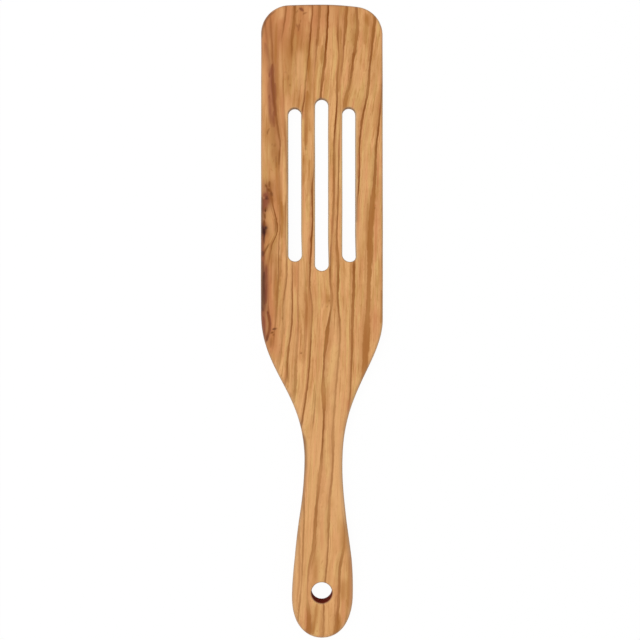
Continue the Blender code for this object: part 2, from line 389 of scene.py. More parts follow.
         (275, 0.4, 0.1), (500, 0.4, 0.1), (520, 0.6, 0.3), (536, 0.8, 0.3), (548, 0.8, 0.4),
         (556, 0.9, 0.7), (568, 0.8, 0.7), (600, 0.8, 0.55), (609, 0.7, 0.7), (616, 1, 0.75),
         (634, 1.5, 0.8)),
    ),
    GrowthLine(
        "right of the right slot",
        ((375.3, 8), (373.4, 37), (372.1, 45), (370.6, 60), (369.6, 68), (368.4, 85), (367.6, 93),
         (366.6, 99), (365, 105), (362.4, 118), (361.2, 127), (359.4, 145), (359.2, 154),
         (359.6, 163), (359.3, 172), (358.3, 190), (357.4, 200), (355, 245), (353.8, 262),
         (353.7, 282), (352.2, 322), (352, 346), (350.7, 371), (350.2, 392), (347, 425), (345, 455),
         (345, 480), (347, 510), (349, 545), (349.5, 600), (347, 634)),
        ((8, 0.8, 0.6), (18, 1, 0.85), (32, 0.9, 0.85), (42, 0.8, 0.8), (52, 0.75, 0.9),
         (62, 0.65, 0.9), (73, 0.6, 0.8), (79, 0.8, 0.7), (93, 0.9, 0.7), (100, 0.6, 0.85),
         (107, 0.5, 1), (114, 0.7, 0.9), (128, 0.7, 0.85), (138, 0.5, 0.9), (160, 0.45, 0.75),
         (176, 0.5, 0.9), (190, 0.45, 1), (198, 0.4, 0.5), (207, 0.4, 0.2), (230, 0.4, 0),
         (258, 0.4, 0.1), (262, 0.8, 1), (282, 1, 0.9), (302, 1, 0.85), (322, 0.95, 0.75),
         (362, 0.7, 0.75), (371, 0.65, 0.7), (384, 0.55, 0.7), (396, 0.55, 0.7), (404, 0.6, 0.4),
         (412, 0.5, 0.1), (634, 0.5, 0.1)),
    ),
    GrowthLine(
        "right edge",
        ((391, 8), (388, 50), (383.4, 78), (381.6, 92), (378.6, 125), (376.2, 145), (374.4, 175),
         (374.3, 185), (370.6, 214), (369.2, 268), (368.2, 292), (367.3, 312), (366, 328),
         (365.5, 345), (363.8, 372), (361, 400), (356, 440), (353.5, 480), (352.5, 560),
         (352, 634)),
        ((78, 0.6, 0.5), (92, 0.7, 0.7), (104, 0.5, 0.6), (114, 0.5, 0.8), (126, 0.6, 0.95),
         (142, 0.6, 0.95), (154, 0.8, 0.85), (180, 0.9, 0.85), (190, 1.15, 0.85), (200, 1.6, 0.85),
         (212, 1.8, 0.85), (222, 1.6, 0.85), (238, 1.7, 0.85), (246, 1.8, 0.85), (256, 1.8, 0.85),
         (275, 1.3, 0.85), (300, 1.35, 0.8), (312, 1.2, 0.75), (320, 1.9, 0.75), (340, 2.4, 0.85),
         (360, 2.1, 0.85), (372, 2, 0.7), (385, 1, 0.3), (400, 0.6, 0.1)),
    ),
)

PATCHES = (
    Patch("rosy corner", 274, 30, 14, 34, ROSE, 0.8),
    Patch("rosy wood at the top", 308, 22, 30, 26, ROSE, 0.5),
    Patch("brown wood between the top's lines", 300, 38, 8, 14, UMBER, 0.4),
    Patch("brown wood along the tip", 336, 10, 24, 13, UMBER, 0.35),
    Patch("rosy wood along the tip", 326, 14, 32, 14, ROSE, 0.35),
    Patch("brown wood by the speck", 298, 16, 5, 12, UMBER, 0.45),
    Patch("pale wood by the left corner", 281, 13, 4, 7, PALE, 0.6),
    Patch("brown wood above the heart", 273, 36, 8, 30, UMBER, 0.35),
    Patch("reddish wood above the heart", 271.5, 46, 8, 24, HEART, 0.3),
    Patch("rosy side of the heart", 266, 62, 4, 40, ROSE, 0.5),
    Patch("heart", 273.6, 97, 5, 34, HEART, 0.5),
    Patch("heart's rosy wood", 273, 92, 5, 36, ROSE, 0.6),
    Patch("heart's brown flank", 277.4, 97, 3.4, 30, UMBER, 0.5),
    Patch("heart's foot", 275.5, 146, 5.5, 24, UMBER, 0.45),
    Patch("heart's rosy foot", 275, 142, 6, 24, HEART, 0.45),
    Patch("rosy wood right of the heart", 283, 118, 4, 30, ROSE, 0.6),
    Patch("rosy wood under the heart", 278, 196, 7, 34, ROSE, 0.6),
    Patch("brown wood right of the knot", 280.4, 219, 5, 23, UMBER, 0.55),
    Patch("knot's head", 268.4, 191.6, 6, 11, HEART, 0.9),
    Patch("knot's brown side", 272, 192, 3.4, 12, UMBER, 0.6),
    Patch("knot's rosy neck", 266.6, 203, 4.8, 9, HEART, 1.0),
    Patch("knot's reddish cracks", 264.4, 217, 2.4, 12, HEART, 0.7),
    Patch("knot's dark heart", 264.8, 229.8, 3, 4.2, SOOT, 0.8),
    Patch("knot's maroon ring", 264.8, 230, 5, 7, HEART, 1.0),
    Patch("knot's light eye", 270, 221, 3, 15, PALE, 0.25),
    Patch("knot's brown halo", 268.6, 222, 3, 15, UMBER, 0.5),
    Patch("rosy wood by the knot", 267.4, 238, 3, 8, ROSE, 0.8),
    Patch("knot's red side", 263.2, 248, 2.6, 15, HEART, 0.9),
    Patch("brown wood under the knot", 270, 250, 8, 17, UMBER, 0.5),
    Patch("brown wood beside the dark edge", 279, 298, 6, 28, UMBER, 0.4),
    Patch("dark edge", 264.8, 284, 3.8, 27, HEART, 1.0),
    Patch("orange wood beside the dark edge", 272, 285, 5, 36, ROSE, 0.35),
    Patch("foot of the dark edge", 265.4, 326, 4.2, 20, HEART, 0.7),
    Patch("cloud under the foot", 273, 338, 3.4, 9, UMBER, 0.5),
    Patch("light eye of the foot", 265.7, 323, 1.6, 6, ROSE, 0.8),
    Patch("rust beside the dark edge", 271.5, 300, 4, 40, ROSE, 0.6),
    Patch("rust under the foot", 274, 340, 5, 14, ROSE, 0.7),
    Patch("rosy wood under the left slot", 296.5, 277, 3.4, 14, ROSE, 0.7),
    Patch("pale left web", 305, 238, 4, 24, PALE, 0.5),
    Patch("warm zone beside the middle slot's foot", 308, 306, 4.4, 24, UMBER, 0.6),
    Patch("its rosy side", 309, 318, 3.4, 26, ROSE, 0.5),
    Patch("brown cloud under the right web", 328.5, 299, 4, 5, UMBER, 0.5),
    Patch("brown cloud left of the top", 289, 58, 6, 22, UMBER, 0.75),
    Patch("brown cloud above the left slot", 288.5, 86, 5, 10, UMBER, 0.6),
    Patch("cloud above the left slot", 297, 100, 6, 8, UMBER, 0.35),
    Patch("brown band left of the middle slot", 309.4, 80, 3.2, 22, UMBER, 1.0),
    Patch("brown wood above that band", 308.6, 56, 3, 14, UMBER, 0.7),
    Patch("brown wood by the smudge", 295.6, 42, 4, 18, UMBER, 0.6),
    Patch("brown wood left of the heart's foot", 268, 132, 5, 16, UMBER, 0.5),
    Patch("brown wood above the knot", 269, 173, 5.5, 14, UMBER, 0.5),
    Patch("brown wood by the right slot's top", 359, 104, 5, 10, UMBER, 0.35),
    Patch("pale wood by the right slot", 360, 238, 4, 14, PALE, 0.4),
    Patch("pale wood left of the left slot", 286.5, 116, 2, 18, PALE, 0.7),
    Patch("pale right side of the neck", 337, 450, 8, 50, PALE, 0.4),
    Patch("pale right side below the neck", 343, 505, 3, 14, PALE, 0.6),
    Patch("pale wood at the tip's middle", 331, 15, 4, 10, PALE, 0.5),
    Patch("brown wood at the neck's top", 318.5, 404, 2.6, 10, UMBER, 0.4),
    Patch("pale field by the top", 300.5, 66, 4, 14, PALE, 0.6),
    Patch("pale stripe beside the cloud", 280.3, 70, 1.2, 24, PALE, 0.35),
    Patch("pale left edge", 264, 84, 2.4, 22, PALE, 0.3),
    Patch("right web's pale middle", 336.8, 150, 1.4, 40, PALE, 0.6),
    Patch("pale field on the right", 364, 190, 6, 50, PALE, 0.2),
    Patch("brown wood right of the right slot", 367, 127, 5, 12, UMBER, 0.25),
    Patch("brown wood under the right band", 376, 288, 4, 14, UMBER, 0.25),
    Patch("brown wood right of the tip's lines", 351, 34, 4, 14, UMBER, 0.3),
    Patch("brown wood by the right corner", 377, 66, 5, 12, UMBER, 0.3),
    Patch("brown wood by the right edge", 377, 188, 4, 12, UMBER, 0.4),
    Patch("brown field under the slots", 318, 290, 6, 12, UMBER, 0.15),
    Patch("pale field on the shoulder", 335, 354, 8, 42, PALE, 0.6),
    Patch("pale field under the left slot", 290, 300, 5, 44, PALE, 0.5),
    Patch("pale neck", 322, 455, 24, 66, PALE, 0.4),
    Patch("pale handle", 322, 560, 34, 70, PALE, 0.3),
    Patch("rust beside the shoulder", 365.5, 344, 3, 28, ROSE, 0.8),
    Patch("rust at the right shoulder's edge", 374, 324, 4, 16, ROSE, 0.6),
    Patch("orange fleck at the neck", 348.3, 405, 1.8, 6, ROSE, 1.0),
    Patch("rosy strip in the handle", 322, 532, 2.6, 22, ROSE, 0.7),
    Patch("pale left side of the handle", 297.5, 558, 4, 64, PALE, 0.6),
    Patch("rosy left side of the handle", 297, 575, 2.4, 20, ROSE, 0.5),
    # Painted light: a pale tone laid on the rounded edge above the neck, where the edge falls in
    # shade.
    Patch("painted light on the edge above the neck", 298, 410, 8, 14, PALE, 0.6),
    Patch("brown cloud above the hole", 315.4, 567, 3.6, 18, UMBER, 0.95),
    Patch("rust under the hole", 308.4, 620, 3.4, 13, ROSE, 1.2),
    Patch("reddish wood under the hole", 308.6, 622, 3, 10, HEART, 0.3),
    Patch("brown band above the butt", 344, 536, 3.4, 16, UMBER, 0.9),
    Patch("brown cloud right of the hole", 343, 588, 4.4, 11, UMBER, 0.9),
    Patch("orange side under the hole", 343, 609, 1.8, 12, ROSE, 0.7),
    Patch("rosy right side of the butt", 351, 580, 2.2, 26, ROSE, 0.9),
)

STROKES = (
    Stroke("heart's core", ((272.6, 65), (272.4, 75), (272.9, 84), (273.5, 93), (274.3, 102),
           (275.5, 110), (275.8, 116)), 0.85, HEART, 1.1),
    Stroke("heart's left flank", ((265.6, 44), (267, 50), (269.8, 65), (269.6, 77)),
           1.1, HEART, 0.6),
    Stroke("faint end of that flank", ((269.6, 74), (269, 98)), 1.0, HEART, 0.22),
    Stroke("heart's lower right side", ((275.4, 84), (276, 100)), 0.7, HEART, 0.6),
    Stroke("heart's lower left side", ((269.4, 96), (270.4, 124)), 0.9, HEART, 0.35),
    Stroke("heart's ink", ((272.6, 76), (273.4, 90), (274.4, 102), (275.8, 112)), 0.45, INK, 0.6),
    Stroke("heart's left side", ((270.2, 78), (270.6, 96), (270.8, 112), (272, 127)),
           1.0, HEART, 0.3),
    Stroke("heart's foot line", ((274, 112), (274.4, 127)), 0.9, HEART, 0.5),
    Stroke("dark left corner", ((262.2, 38), (263, 29), (266, 20.6), (270, 15.4), (275.6, 11.6)),
           0.55, SOOT, 0.5),
    Stroke("heart's left branch", ((265, 22), (266, 31), (267.4, 40), (268.9, 52), (270, 62)),
           0.55, INK, 0.4),
    Stroke("heart's right branch", ((270.4, 18), (271, 34), (272.2, 46), (272.8, 60)),
           0.6, INK, 0.3),
    Stroke("heart's outer branch", ((276.4, 24), (276, 44), (275.8, 64)), 0.8, UMBER, 0.5),
    Stroke("heart's right flank", ((276.5, 112), (277.3, 122), (278.8, 132), (280.3, 140),
           (281.3, 147)), 0.5, INK, 0.45),
    Stroke("line under the flank", ((279.7, 150), (279.4, 158), (279.2, 165)), 0.45, INK, 0.5),
    Stroke("line left of it", ((276.4, 157), (276.3, 168)), 0.45, INK, 0.4),
    Stroke("tick beside the heart", ((267.3, 135), (268, 132), (269.6, 129)), 0.45, INK, 0.7),
    Stroke("second tick", ((272.2, 144), (273, 146)), 0.35, INK, 0.4),
    Stroke("third tick", ((275.2, 144.6), (274.4, 147)), 0.35, INK, 0.4),
    Stroke("band under the heart", ((277, 163), (277.3, 176), (278.2, 188), (279.2, 204)),
           1.0, UMBER, 0.6),
    Stroke("pale stripe along the left slot", ((284.4, 156), (284, 180), (284.2, 205)),
           0.7, PALE, 0.8),
    Stroke("brown stripe beside it", ((281, 172), (281.4, 205)), 0.6, UMBER, 0.4),
    Stroke("knot's first mottle", ((269.9, 181.6), (269.6, 187)), 0.5, INK, 1.2),
    Stroke("knot's second mottle", ((265.8, 185), (267.4, 187.6)), 0.5, INK, 1.1),
    Stroke("knot's third mottle", ((268, 189), (270.6, 191.6)), 0.8, INK, 1.2),
    Stroke("knot's right shoulder", ((271.4, 192), (272.2, 196.4)), 0.6, SOOT, 1.1),
    Stroke("knot's arch", ((266, 199), (267, 196.6), (268.4, 198)), 0.45, SOOT, 0.6),
    Stroke("knot's lower mottle", ((266.2, 199), (268.6, 199)), 0.5, SOOT, 0.8),
    Stroke("knot's pale fleck", ((264, 196.4), (264.2, 199.6)), 0.35, PALE, 0.5),
    Stroke("first crack", ((265.9, 208), (265.7, 212)), 0.5, INK, 1.5),
    Stroke("first crack's dark middle", ((265.9, 209.4), (265.8, 211.6)), 0.45, SOOT, 0.8),
    Stroke("second crack", ((265.2, 213), (265.5, 219)), 0.45, INK, 1.4),
    Stroke("third crack", ((264.4, 220), (264.6, 226)), 0.5, INK, 1.5),
    Stroke("knot's dark edge", ((262.5, 198), (262.5, 236)), 0.6, SOOT, 0.6),
    Stroke("knot's right lobe", ((265.6, 227.4), (268, 228.4)), 0.7, SOOT, 0.7),
    Stroke("knot's foot", ((264.6, 230), (264.3, 244)), 0.6, SOOT, 1.0),
    Stroke("knot's lower side", ((262.6, 236), (263.2, 248), (263, 262)), 0.8, HEART, 0.8),
    Stroke("lower knot", ((263, 251), (263.2, 256)), 0.6, SOOT, 1.1),
    Stroke("arc from the lower knot", ((264.2, 254.4), (265.4, 251), (267.2, 247.8),
           (269.6, 243.6)), 0.45, INK, 1.1),
    Stroke("dark edge's core", ((262.2, 262), (262.4, 282), (262.6, 300), (263.4, 310)),
           1.5, SOOT, 0.75),
    Stroke("dark edge's inner side", ((264.6, 272), (264.8, 290), (264.6, 304)), 0.8, SOOT, 0.45),
    Stroke("dark edge's right side", ((267.2, 264), (267.4, 284), (266.6, 303)), 0.6, HEART, 0.5),
    Stroke("first streak under the knot", ((272.2, 244), (272, 262), (271.8, 284)), 0.4, INK, 0.35),
    Stroke("second streak", ((274.6, 240), (274.4, 262), (274.2, 296)), 0.4, INK, 0.3),
    Stroke("third streak", ((276.8, 236), (276.6, 262), (276.2, 280)), 0.4, INK, 0.35),
    Stroke("fourth streak", ((281.6, 202), (282.2, 218), (281.8, 238)), 0.65, UMBER, 0.85),
    Stroke("knot side's dark bend", ((275.4, 219), (276.2, 226), (275.8, 233)), 0.5, INK, 0.6),
    Stroke("sixth streak", ((276.6, 254), (276.4, 300)), 0.6, UMBER, 0.5),
    Stroke("seventh streak", ((280, 256), (280, 286)), 0.5, UMBER, 0.5),
    Stroke("second line under the left slot", ((286, 278), (285.4, 293), (285, 305), (284.8, 334)),
           0.5, INK, 0.4),
    Stroke("streak under the left slot", ((295, 266), (295.2, 286)), 0.8, UMBER, 0.5),
    Stroke("branch of the left slot's line", ((287.8, 362), (288.6, 382)), 0.5, INK, 0.5),
    Stroke("fifth streak", ((281.2, 244), (281.3, 276)), 0.35, INK, 0.45),
    Stroke("pale streak", ((280.2, 240), (280.2, 254)), 0.35, PALE, 0.8),
    Stroke("orange streak", ((273.2, 262), (272.8, 300)), 0.4, PALE, 0.4),
    Stroke("foot's outline", ((267.8, 311), (269.4, 316), (270.5, 323), (270.1, 330), (266.6, 340)),
           0.6, HEART, 1.3),
    Stroke("foot's first spot", ((268.4, 311.6), (268.9, 313)), 0.4, SOOT, 0.7),
    Stroke("foot's dark end", ((268.4, 335), (266.6, 341)), 0.8, SOOT, 0.5),
    Stroke("foot's left side", ((263.3, 316), (263.6, 328), (265.4, 338)), 0.8, HEART, 0.6),
    Stroke("tick beside the foot", ((273, 328.6), (277, 328)), 0.5, SOOT, 1.0),
    Stroke("tick below it", ((271.4, 332.4), (273.8, 331.4)), 0.5, INK, 1.0),
    Stroke("third tick of the foot", ((273.4, 334.8), (274.8, 333.6)), 0.45, INK, 0.8),
    Stroke("line under the foot", ((271.4, 337), (271.3, 342), (271, 347)), 0.6, INK, 0.4),
    Stroke("speck by the tip", ((299.4, 8.8), (301.5, 9.4), (303.2, 11.6)), 0.7, HEART, 1.5),
    Stroke("speck's dark middle", ((299.8, 9), (302, 10)), 0.5, SOOT, 0.35),
    Stroke("second speck", ((303, 14.8), (304.4, 13.8), (306.8, 13)), 0.4, INK, 0.8),
    Stroke("speck's tail", ((296.6, 13), (298, 10.4)), 0.4, INK, 0.7),
    Stroke("smudge's line", ((301, 20), (300.4, 23)), 0.4, INK, 0.4),
    Stroke("smudge's first spot", ((296.4, 24.6), (297.4, 27.6)), 0.5, HEART, 1.3),
    Stroke("smudge's second spot", ((299.8, 24), (298.8, 28), (298.4, 31.6)), 0.5, HEART, 1.3),
    Stroke("smudge", ((297, 27), (298, 36)), 1.8, ROSE, 0.9),
    Stroke("first streak at the top", ((340.4, 26), (340.6, 44)), 0.6, UMBER, 0.6),
    Stroke("second streak at the top", ((316.2, 46), (316.6, 40)), 0.4, INK, 0.5),
    Stroke("dark spot on the right slot's line", ((353, 53.6), (354, 56)), 0.7, INK, 0.8),
    Stroke("second spot on it", ((350.4, 78), (351, 78.4)), 0.5, INK, 0.7),
    Stroke("cloud by the right corner", ((367.4, 15), (368.6, 26)), 1.2, UMBER, 0.4),
    Stroke("streak under the right corner", ((366.6, 42), (364.4, 60), (364, 72)),
           0.6, UMBER, 0.45),
    Stroke("pale wood left of the thin line", ((310.4, 8), (309.8, 22)), 0.8, PALE, 0.7),
    Stroke("thin line by the smudge", ((295.6, 52), (295.9, 78)), 0.4, INK, 0.35),
    Stroke("brown side of the web line's head", ((319.2, 28), (318.6, 46)), 0.8, UMBER, 0.6),
    Stroke("brown side of the middle slot's line", ((322.6, 46), (321.6, 64)), 1.0, UMBER, 0.8),
    Stroke("brown band above the right web", ((341.2, 44), (341, 62), (339.6, 76), (338.6, 92)),
           1.2, UMBER, 0.6),
    Stroke("brown side of the right slot's line", ((355, 12), (354.8, 30), (353.6, 46)),
           1.0, UMBER, 0.5),
    Stroke("brown streak by the right corner", ((365.4, 14), (365.8, 32), (364.6, 44)),
           1.4, UMBER, 0.6),
    Stroke("right web's pale streak", ((335.9, 178), (335.7, 202)), 0.6, PALE, 0.8),
    Stroke("foot's left edge", ((262.4, 306), (262.6, 328)), 0.7, HEART, 0.7),
    Stroke("pale streak by the right slot's line", ((357.6, 62), (357.4, 92)), 1.4, PALE, 0.6),
    Stroke("streak in the right field's head", ((373.8, 74), (373.6, 98)), 1.4, UMBER, 0.5),
    Stroke("curl's first tick", ((284.6, 72.6), (286, 72.4), (287.2, 74)), 0.35, INK, 0.3),
    Stroke("curl's second tick", ((288.6, 75.6), (288.8, 80)), 0.4, INK, 0.4),
    Stroke("curl's third tick", ((289.8, 84.6), (290.2, 86.8)), 0.5, INK, 0.45),
    Stroke("left web's brown wedge", ((307.4, 92), (307.2, 114), (306.4, 130), (305.8, 146)),
           1.3, UMBER, 0.9),
    Stroke("left web's left line", ((305.6, 96), (305.6, 150)), 0.4, INK, 0.3),
    Stroke("left web's pale streak", ((309.6, 132), (310.4, 160)), 0.9, PALE, 0.6),
    Stroke("pale streak in the left web's foot", ((302.6, 262), (302.8, 284)), 1.6, PALE, 0.6),
    Stroke("left web's tick", ((305.6, 147), (305.8, 151)), 0.4, INK, 0.6),
    Stroke("left web's rosy edge", ((302.6, 108), (303.4, 120)), 0.6, ROSE, 0.9),
    Stroke("left web's brown left side", ((304, 156), (302.9, 168), (302.6, 186)), 0.9, UMBER, 0.7),
    Stroke("left web's second rosy edge", ((302.8, 172), (303, 200)), 0.7, ROSE, 0.9),
    Stroke("left web's gold line", ((308.6, 160), (308.8, 176), (307.8, 196)), 0.5, UMBER, 0.5),
    Stroke("rosy side of the web line", ((310, 232), (309.2, 246), (308.4, 262)), 0.8, ROSE, 0.5),
    Stroke("brown side of the web line", ((307, 262), (306.6, 274), (306.8, 286)), 0.7, UMBER, 0.6),
    Stroke("rosy side of the right web", ((331.8, 218), (332.8, 234)), 0.5, ROSE, 0.8),
    Stroke("rosy strip in the right web", ((339.2, 138), (338.4, 158)), 0.5, ROSE, 0.8),
    Stroke("rosy wall of the right slot", ((357.4, 196), (357.8, 215), (357.6, 240)),
           0.6, ROSE, 0.8),
    Stroke("line along the right slot's wall", ((356.6, 196), (356.2, 222)), 0.4, INK, 0.6),
    Stroke("right band's left side", ((367.6, 204), (367.6, 250)), 0.65, UMBER, 0.8),
    Stroke("right band's right side", ((374.4, 204), (373, 226)), 0.8, UMBER, 0.6),
    Stroke("streak on the right shoulder's edge", ((381.4, 290), (381.6, 304), (380.6, 322)),
           0.9, UMBER, 0.8),
    Stroke("pale side of the shoulder's band", ((359.6, 330), (358.8, 352), (357.6, 362)),
           1.3, PALE, 0.6),
    Stroke("rosy side of the slot's line", ((358.2, 154), (358, 178)), 0.7, ROSE, 0.9),
    Stroke("rosy strip by the right edge", ((379.6, 102), (379.8, 116)), 0.5, ROSE, 1.0),
    Stroke("rosy edge right of the line", ((377.6, 152), (377.5, 168), (377.6, 188)),
           0.5, ROSE, 1.0),
    Stroke("second rosy edge", ((376.4, 196), (376, 216), (375.4, 245), (375.6, 262)),
           0.8, ROSE, 0.6),
    Stroke("rosy fleck in the band", ((372.6, 205.4), (375.6, 205.6)), 0.5, ROSE, 0.9),
    Stroke("dark spot under the fleck", ((374, 208.6), (375, 208)), 0.4, INK, 0.8),
    Stroke("band's dark right edge", ((371.8, 255), (371.7, 264)), 0.4, INK, 0.6),
    Stroke("tick under the middle slot", ((323, 302), (322, 308)), 0.4, INK, 0.35),
    Stroke("second tick there", ((328.6, 299.6), (329.8, 301)), 0.45, INK, 0.5),
    Stroke("third tick there", ((326.8, 305), (327.2, 307)), 0.35, INK, 0.4),
    Stroke("tick left of the foot", ((282.4, 316), (282.8, 319.4)), 0.35, INK, 0.6),
    Stroke("tick by the shoulder's cloud", ((300.6, 352.8), (302.2, 352)), 0.45, INK, 0.9),
    Stroke("shoulder's cloud", ((302.6, 334), (303, 362)), 1.3, UMBER, 0.4),
    Stroke("second tick left of it", ((283.4, 298.4), (284.4, 299.6)), 0.4, INK, 0.4),
    # Painted shade: a thin dark line along the tip's rounded edge.
    Stroke("painted shade line along the tip", ((290, 5.4), (320, 5), (345, 6)), 0.5, INK, 0.5),
    # Painted shade: a dark line along the rounded left edge of the neck.
    Stroke("painted shade along the neck's left edge", ((303.4, 432), (305.4, 441), (306, 452), (306.1, 465), (304.8, 480),
           (303.8, 494)), 0.75, INK, 1.4),
    # Painted light: a pale tone along the rounded right edge of the neck.
    Stroke("painted light along the neck's right edge", ((342.4, 430), (340.8, 448), (340.4, 466), (341.2, 486),
           (343.2, 508)), 0.9, PALE, 1.0),
    Stroke("brown left edge above the butt", ((296.4, 572), (296.8, 594)), 0.8, UMBER, 0.7),
    # Painted shade: a dark reddish line along the rounded left edge where the handle flares.
    Stroke("painted shade along the handle's left edge", ((303.6, 493), (301.4, 506), (300.4, 522)), 0.5, HEART, 1.0),
    Stroke("streak on the handle's left side", ((297.8, 558), (297.8, 580), (297.4, 598),
           (298.4, 610)), 0.6, UMBER, 0.8),
    Stroke("streak on the handle's right side", ((349.8, 556), (348.8, 578), (348.6, 606)),
           0.8, UMBER, 0.8),
    Stroke("streak right of the hole", ((346.4, 598), (346.4, 622)), 0.9, UMBER, 0.7),
    Stroke("branch under the hole", ((316.4, 603), (316.2, 612), (314.8, 621), (313, 632)),
           0.9, UMBER, 1.0),
    Stroke("tick under the hole", ((311.6, 620), (311.4, 632)), 0.45, INK, 0.6),
    Stroke("wedge under the hole", ((338.6, 612), (339.4, 622), (338.6, 632)), 1.1, UMBER, 1.0),
)


@dataclass(frozen=True)
class FibreMap:
    """Where each fibre of the board runs, worked out from the growth lines.

    Attributes:
        lines: The growth lines, from left to right.
        patches: The stained spots, one of them painted light on an edge.
        strokes: The stained streaks, a few of them painted shade and painted light along edges.
        lean: How far the growth rings step sideways for each millimetre into the board.
        least_gap: The least distance between two neighbouring lines.
        smoothing: How far along a line its corners are smoothed out.
        taper: How far from its ends a stroke comes to its full width.
        taper_share: The most that this may be, as a share of the stroke's length.
        end_width: The width at a stroke's very ends, as a share of its full width.
        outside: How far from the board's middle the outermost fibres are taken to run.
        home: Where fibres are told apart by their distance from the middle, as a share of the
            way from the handle's end to the tip.
        rest_width: Half width of the outermost fibres, which show no line.
        least_ink: Keeps a half width above 0, because the material divides by it.
    """

    lines: tuple[GrowthLine, ...] = GROWTH_LINES
    patches: tuple[Patch, ...] = PATCHES
    strokes: tuple[Stroke, ...] = STROKES
    lean: float = 0.55
    least_gap: float = 0.9
    smoothing: int = 5
    taper: float = 2.5
    taper_share: float = 0.3
    end_width: float = 0.4
    outside: float = 48.0
    home: float = 0.66
    rest_width: float = 0.5
    least_ink: float = 1e-6
    scale: PhotoScale = field(default_factory=PhotoScale)

    def stations(self) -> np.ndarray:
        """The places along the board, one a millimetre, where the lines are worked out."""
        return np.arange(self.scale.y(self.scale.height), self.scale.y(0), 1.0)

    def smooth(self, values: np.ndarray) -> np.ndarray:
        """Rounds off the corners of a run of values.

        Args:
            values: One value a millimetre.

        Returns:
            The same values with their corners rounded.
        """
        window = np.hanning(2 * self.smoothing + 1)
        padded = np.pad(values, self.smoothing, mode="edge")
        return np.convolve(padded, window / window.sum(), mode="valid")

    def along(self, knots: list[tuple[float, float]]) -> np.ndarray:
        """Spreads a few known values over the stations.

        Args:
            knots: The known places, as (y in pixels, value).

        Returns:
            One value at each station.
        """
        places = [self.scale.y(y) for y, _ in knots]
        order = np.argsort(places)
        values = np.array([value for _, value in knots], float)
        return self.smooth(np.interp(self.stations(), np.array(places)[order], values[order]))

    def routes(self) -> np.ndarray:
        """Where each line and the outermost fibres run, none nearer to the next than least_gap.

        Returns:
            One row a line, with its distance from the middle at each station.
        """
        rows = [self.along([(y, self.scale.x(x)) for x, y in line.route]) for line in self.lines]
        rows = [np.full_like(rows[0], -self.outside), *rows, np.full_like(rows[0], self.outside)]
        steps = np.arange(len(rows))[:, None] * self.least_gap
        return np.maximum.accumulate(np.array(rows) - steps, axis=0) + steps

    def inks(self, part: int) -> np.ndarray:
        """How each line shows along the board.

        Args:
            part: 1 for the half widths, 2 for the darkness.

        Returns:
            One row a line, with one value at each station.
        """
        rows = [self.along([(mark[0], mark[part]) for mark in line.ink]) for line in self.lines]
        rest = np.full_like(rows[0], self.rest_width if part == 1 else 0.0)
        return np.array([rest, *rows, rest]) + self.least_ink

    def growth(self, x: np.ndarray, y: np.ndarray) -> dict[str, np.ndarray]:
        """The growth lines around each point.

        Args:
            x: Distances from the board's middle, taken at the depth of the front face.
            y: Distances along the board.

        Returns:
            ring: a number that is whole on each line and grows evenly between them;
            spacing: millimetres to one step of ring; half_width and dark: the nearby lines' ink;
            soft: the side to which the nearest line fades;
            fibre: the distance from the middle at which the point's fibre crosses the blade.
        """
        stations = self.stations()
        routes = self.routes()
        across = np.array([np.interp(y, stations, row) for row in routes])
        below = np.clip((across <= x).sum(axis=0) - 1, 0, len(routes) - 2)
        pick = np.arange(len(x))
        left, right = across[below, pick], across[below + 1, pick]
        gap = right - left
        gaps = np.diff(across, axis=0)
        mean_gap = np.vstack([gaps[:1], (gaps[:-1] + gaps[1:]) / 2, gaps[-1:]])
        near, far = mean_gap[below, pick], mean_gap[below + 1, pick]
        t = np.clip((x - left) / gap, 0, 1)
        rise = (t**3 - 2 * t**2 + t) * gap / near + (t**3 - t**2) * gap / far
        step = rise + 3 * t**2 - 2 * t**3
        home = routes[:, int(len(stations) * self.home)]
        found = {"ring": below + step, "spacing": near + (far - near) * t}
        found["fibre"] = home[below] + (home[below + 1] - home[below]) * t
        for name, part in (("half_width", 1), ("dark", 2)):
            ink = np.array([np.interp(y, stations, row) for row in self.inks(part)])
            low, high = ink[below, pick], ink[below + 1, pick]
            found[name] = np.where(step < 0.5, low, high)
        sides = np.array([-1.0, *(line.soft_side for line in self.lines), -1.0])
        found["soft"] = sides[below + (step > 0.5)]
        return found

    def tints(self, x: np.ndarray, y: np.ndarray) -> np.ndarray:
        """How much of each tint lies at each point, the painted shade and light along some edges
        included.

        Args:
            x: Distances from the board's middle, taken at the depth of the front face.
            y: Distances along the board.

        Returns:
            One row a point and one column a stain.
        """
        amounts = np.zeros((len(x), len(Stain)))
        for patch in self.patches:
            away_x = (x - self.scale.x(patch.x)) / (patch.reach_x * self.scale.mm_per_pixel)
            away_y = (y - self.scale.y(patch.y)) / (patch.reach_y * self.scale.mm_per_pixel)
            amount = patch.strength * np.exp(-(away_x**2) - away_y**4)
            amounts[:, patch.tint.value] += amount
        for stroke in self.strokes:
            away, full = self.distance(stroke, x, y)
            amount = stroke.strength * np.exp(-((away / (stroke.half_width * full)) ** 2))
            amounts[:, stroke.tint.value] += amount
        return amounts

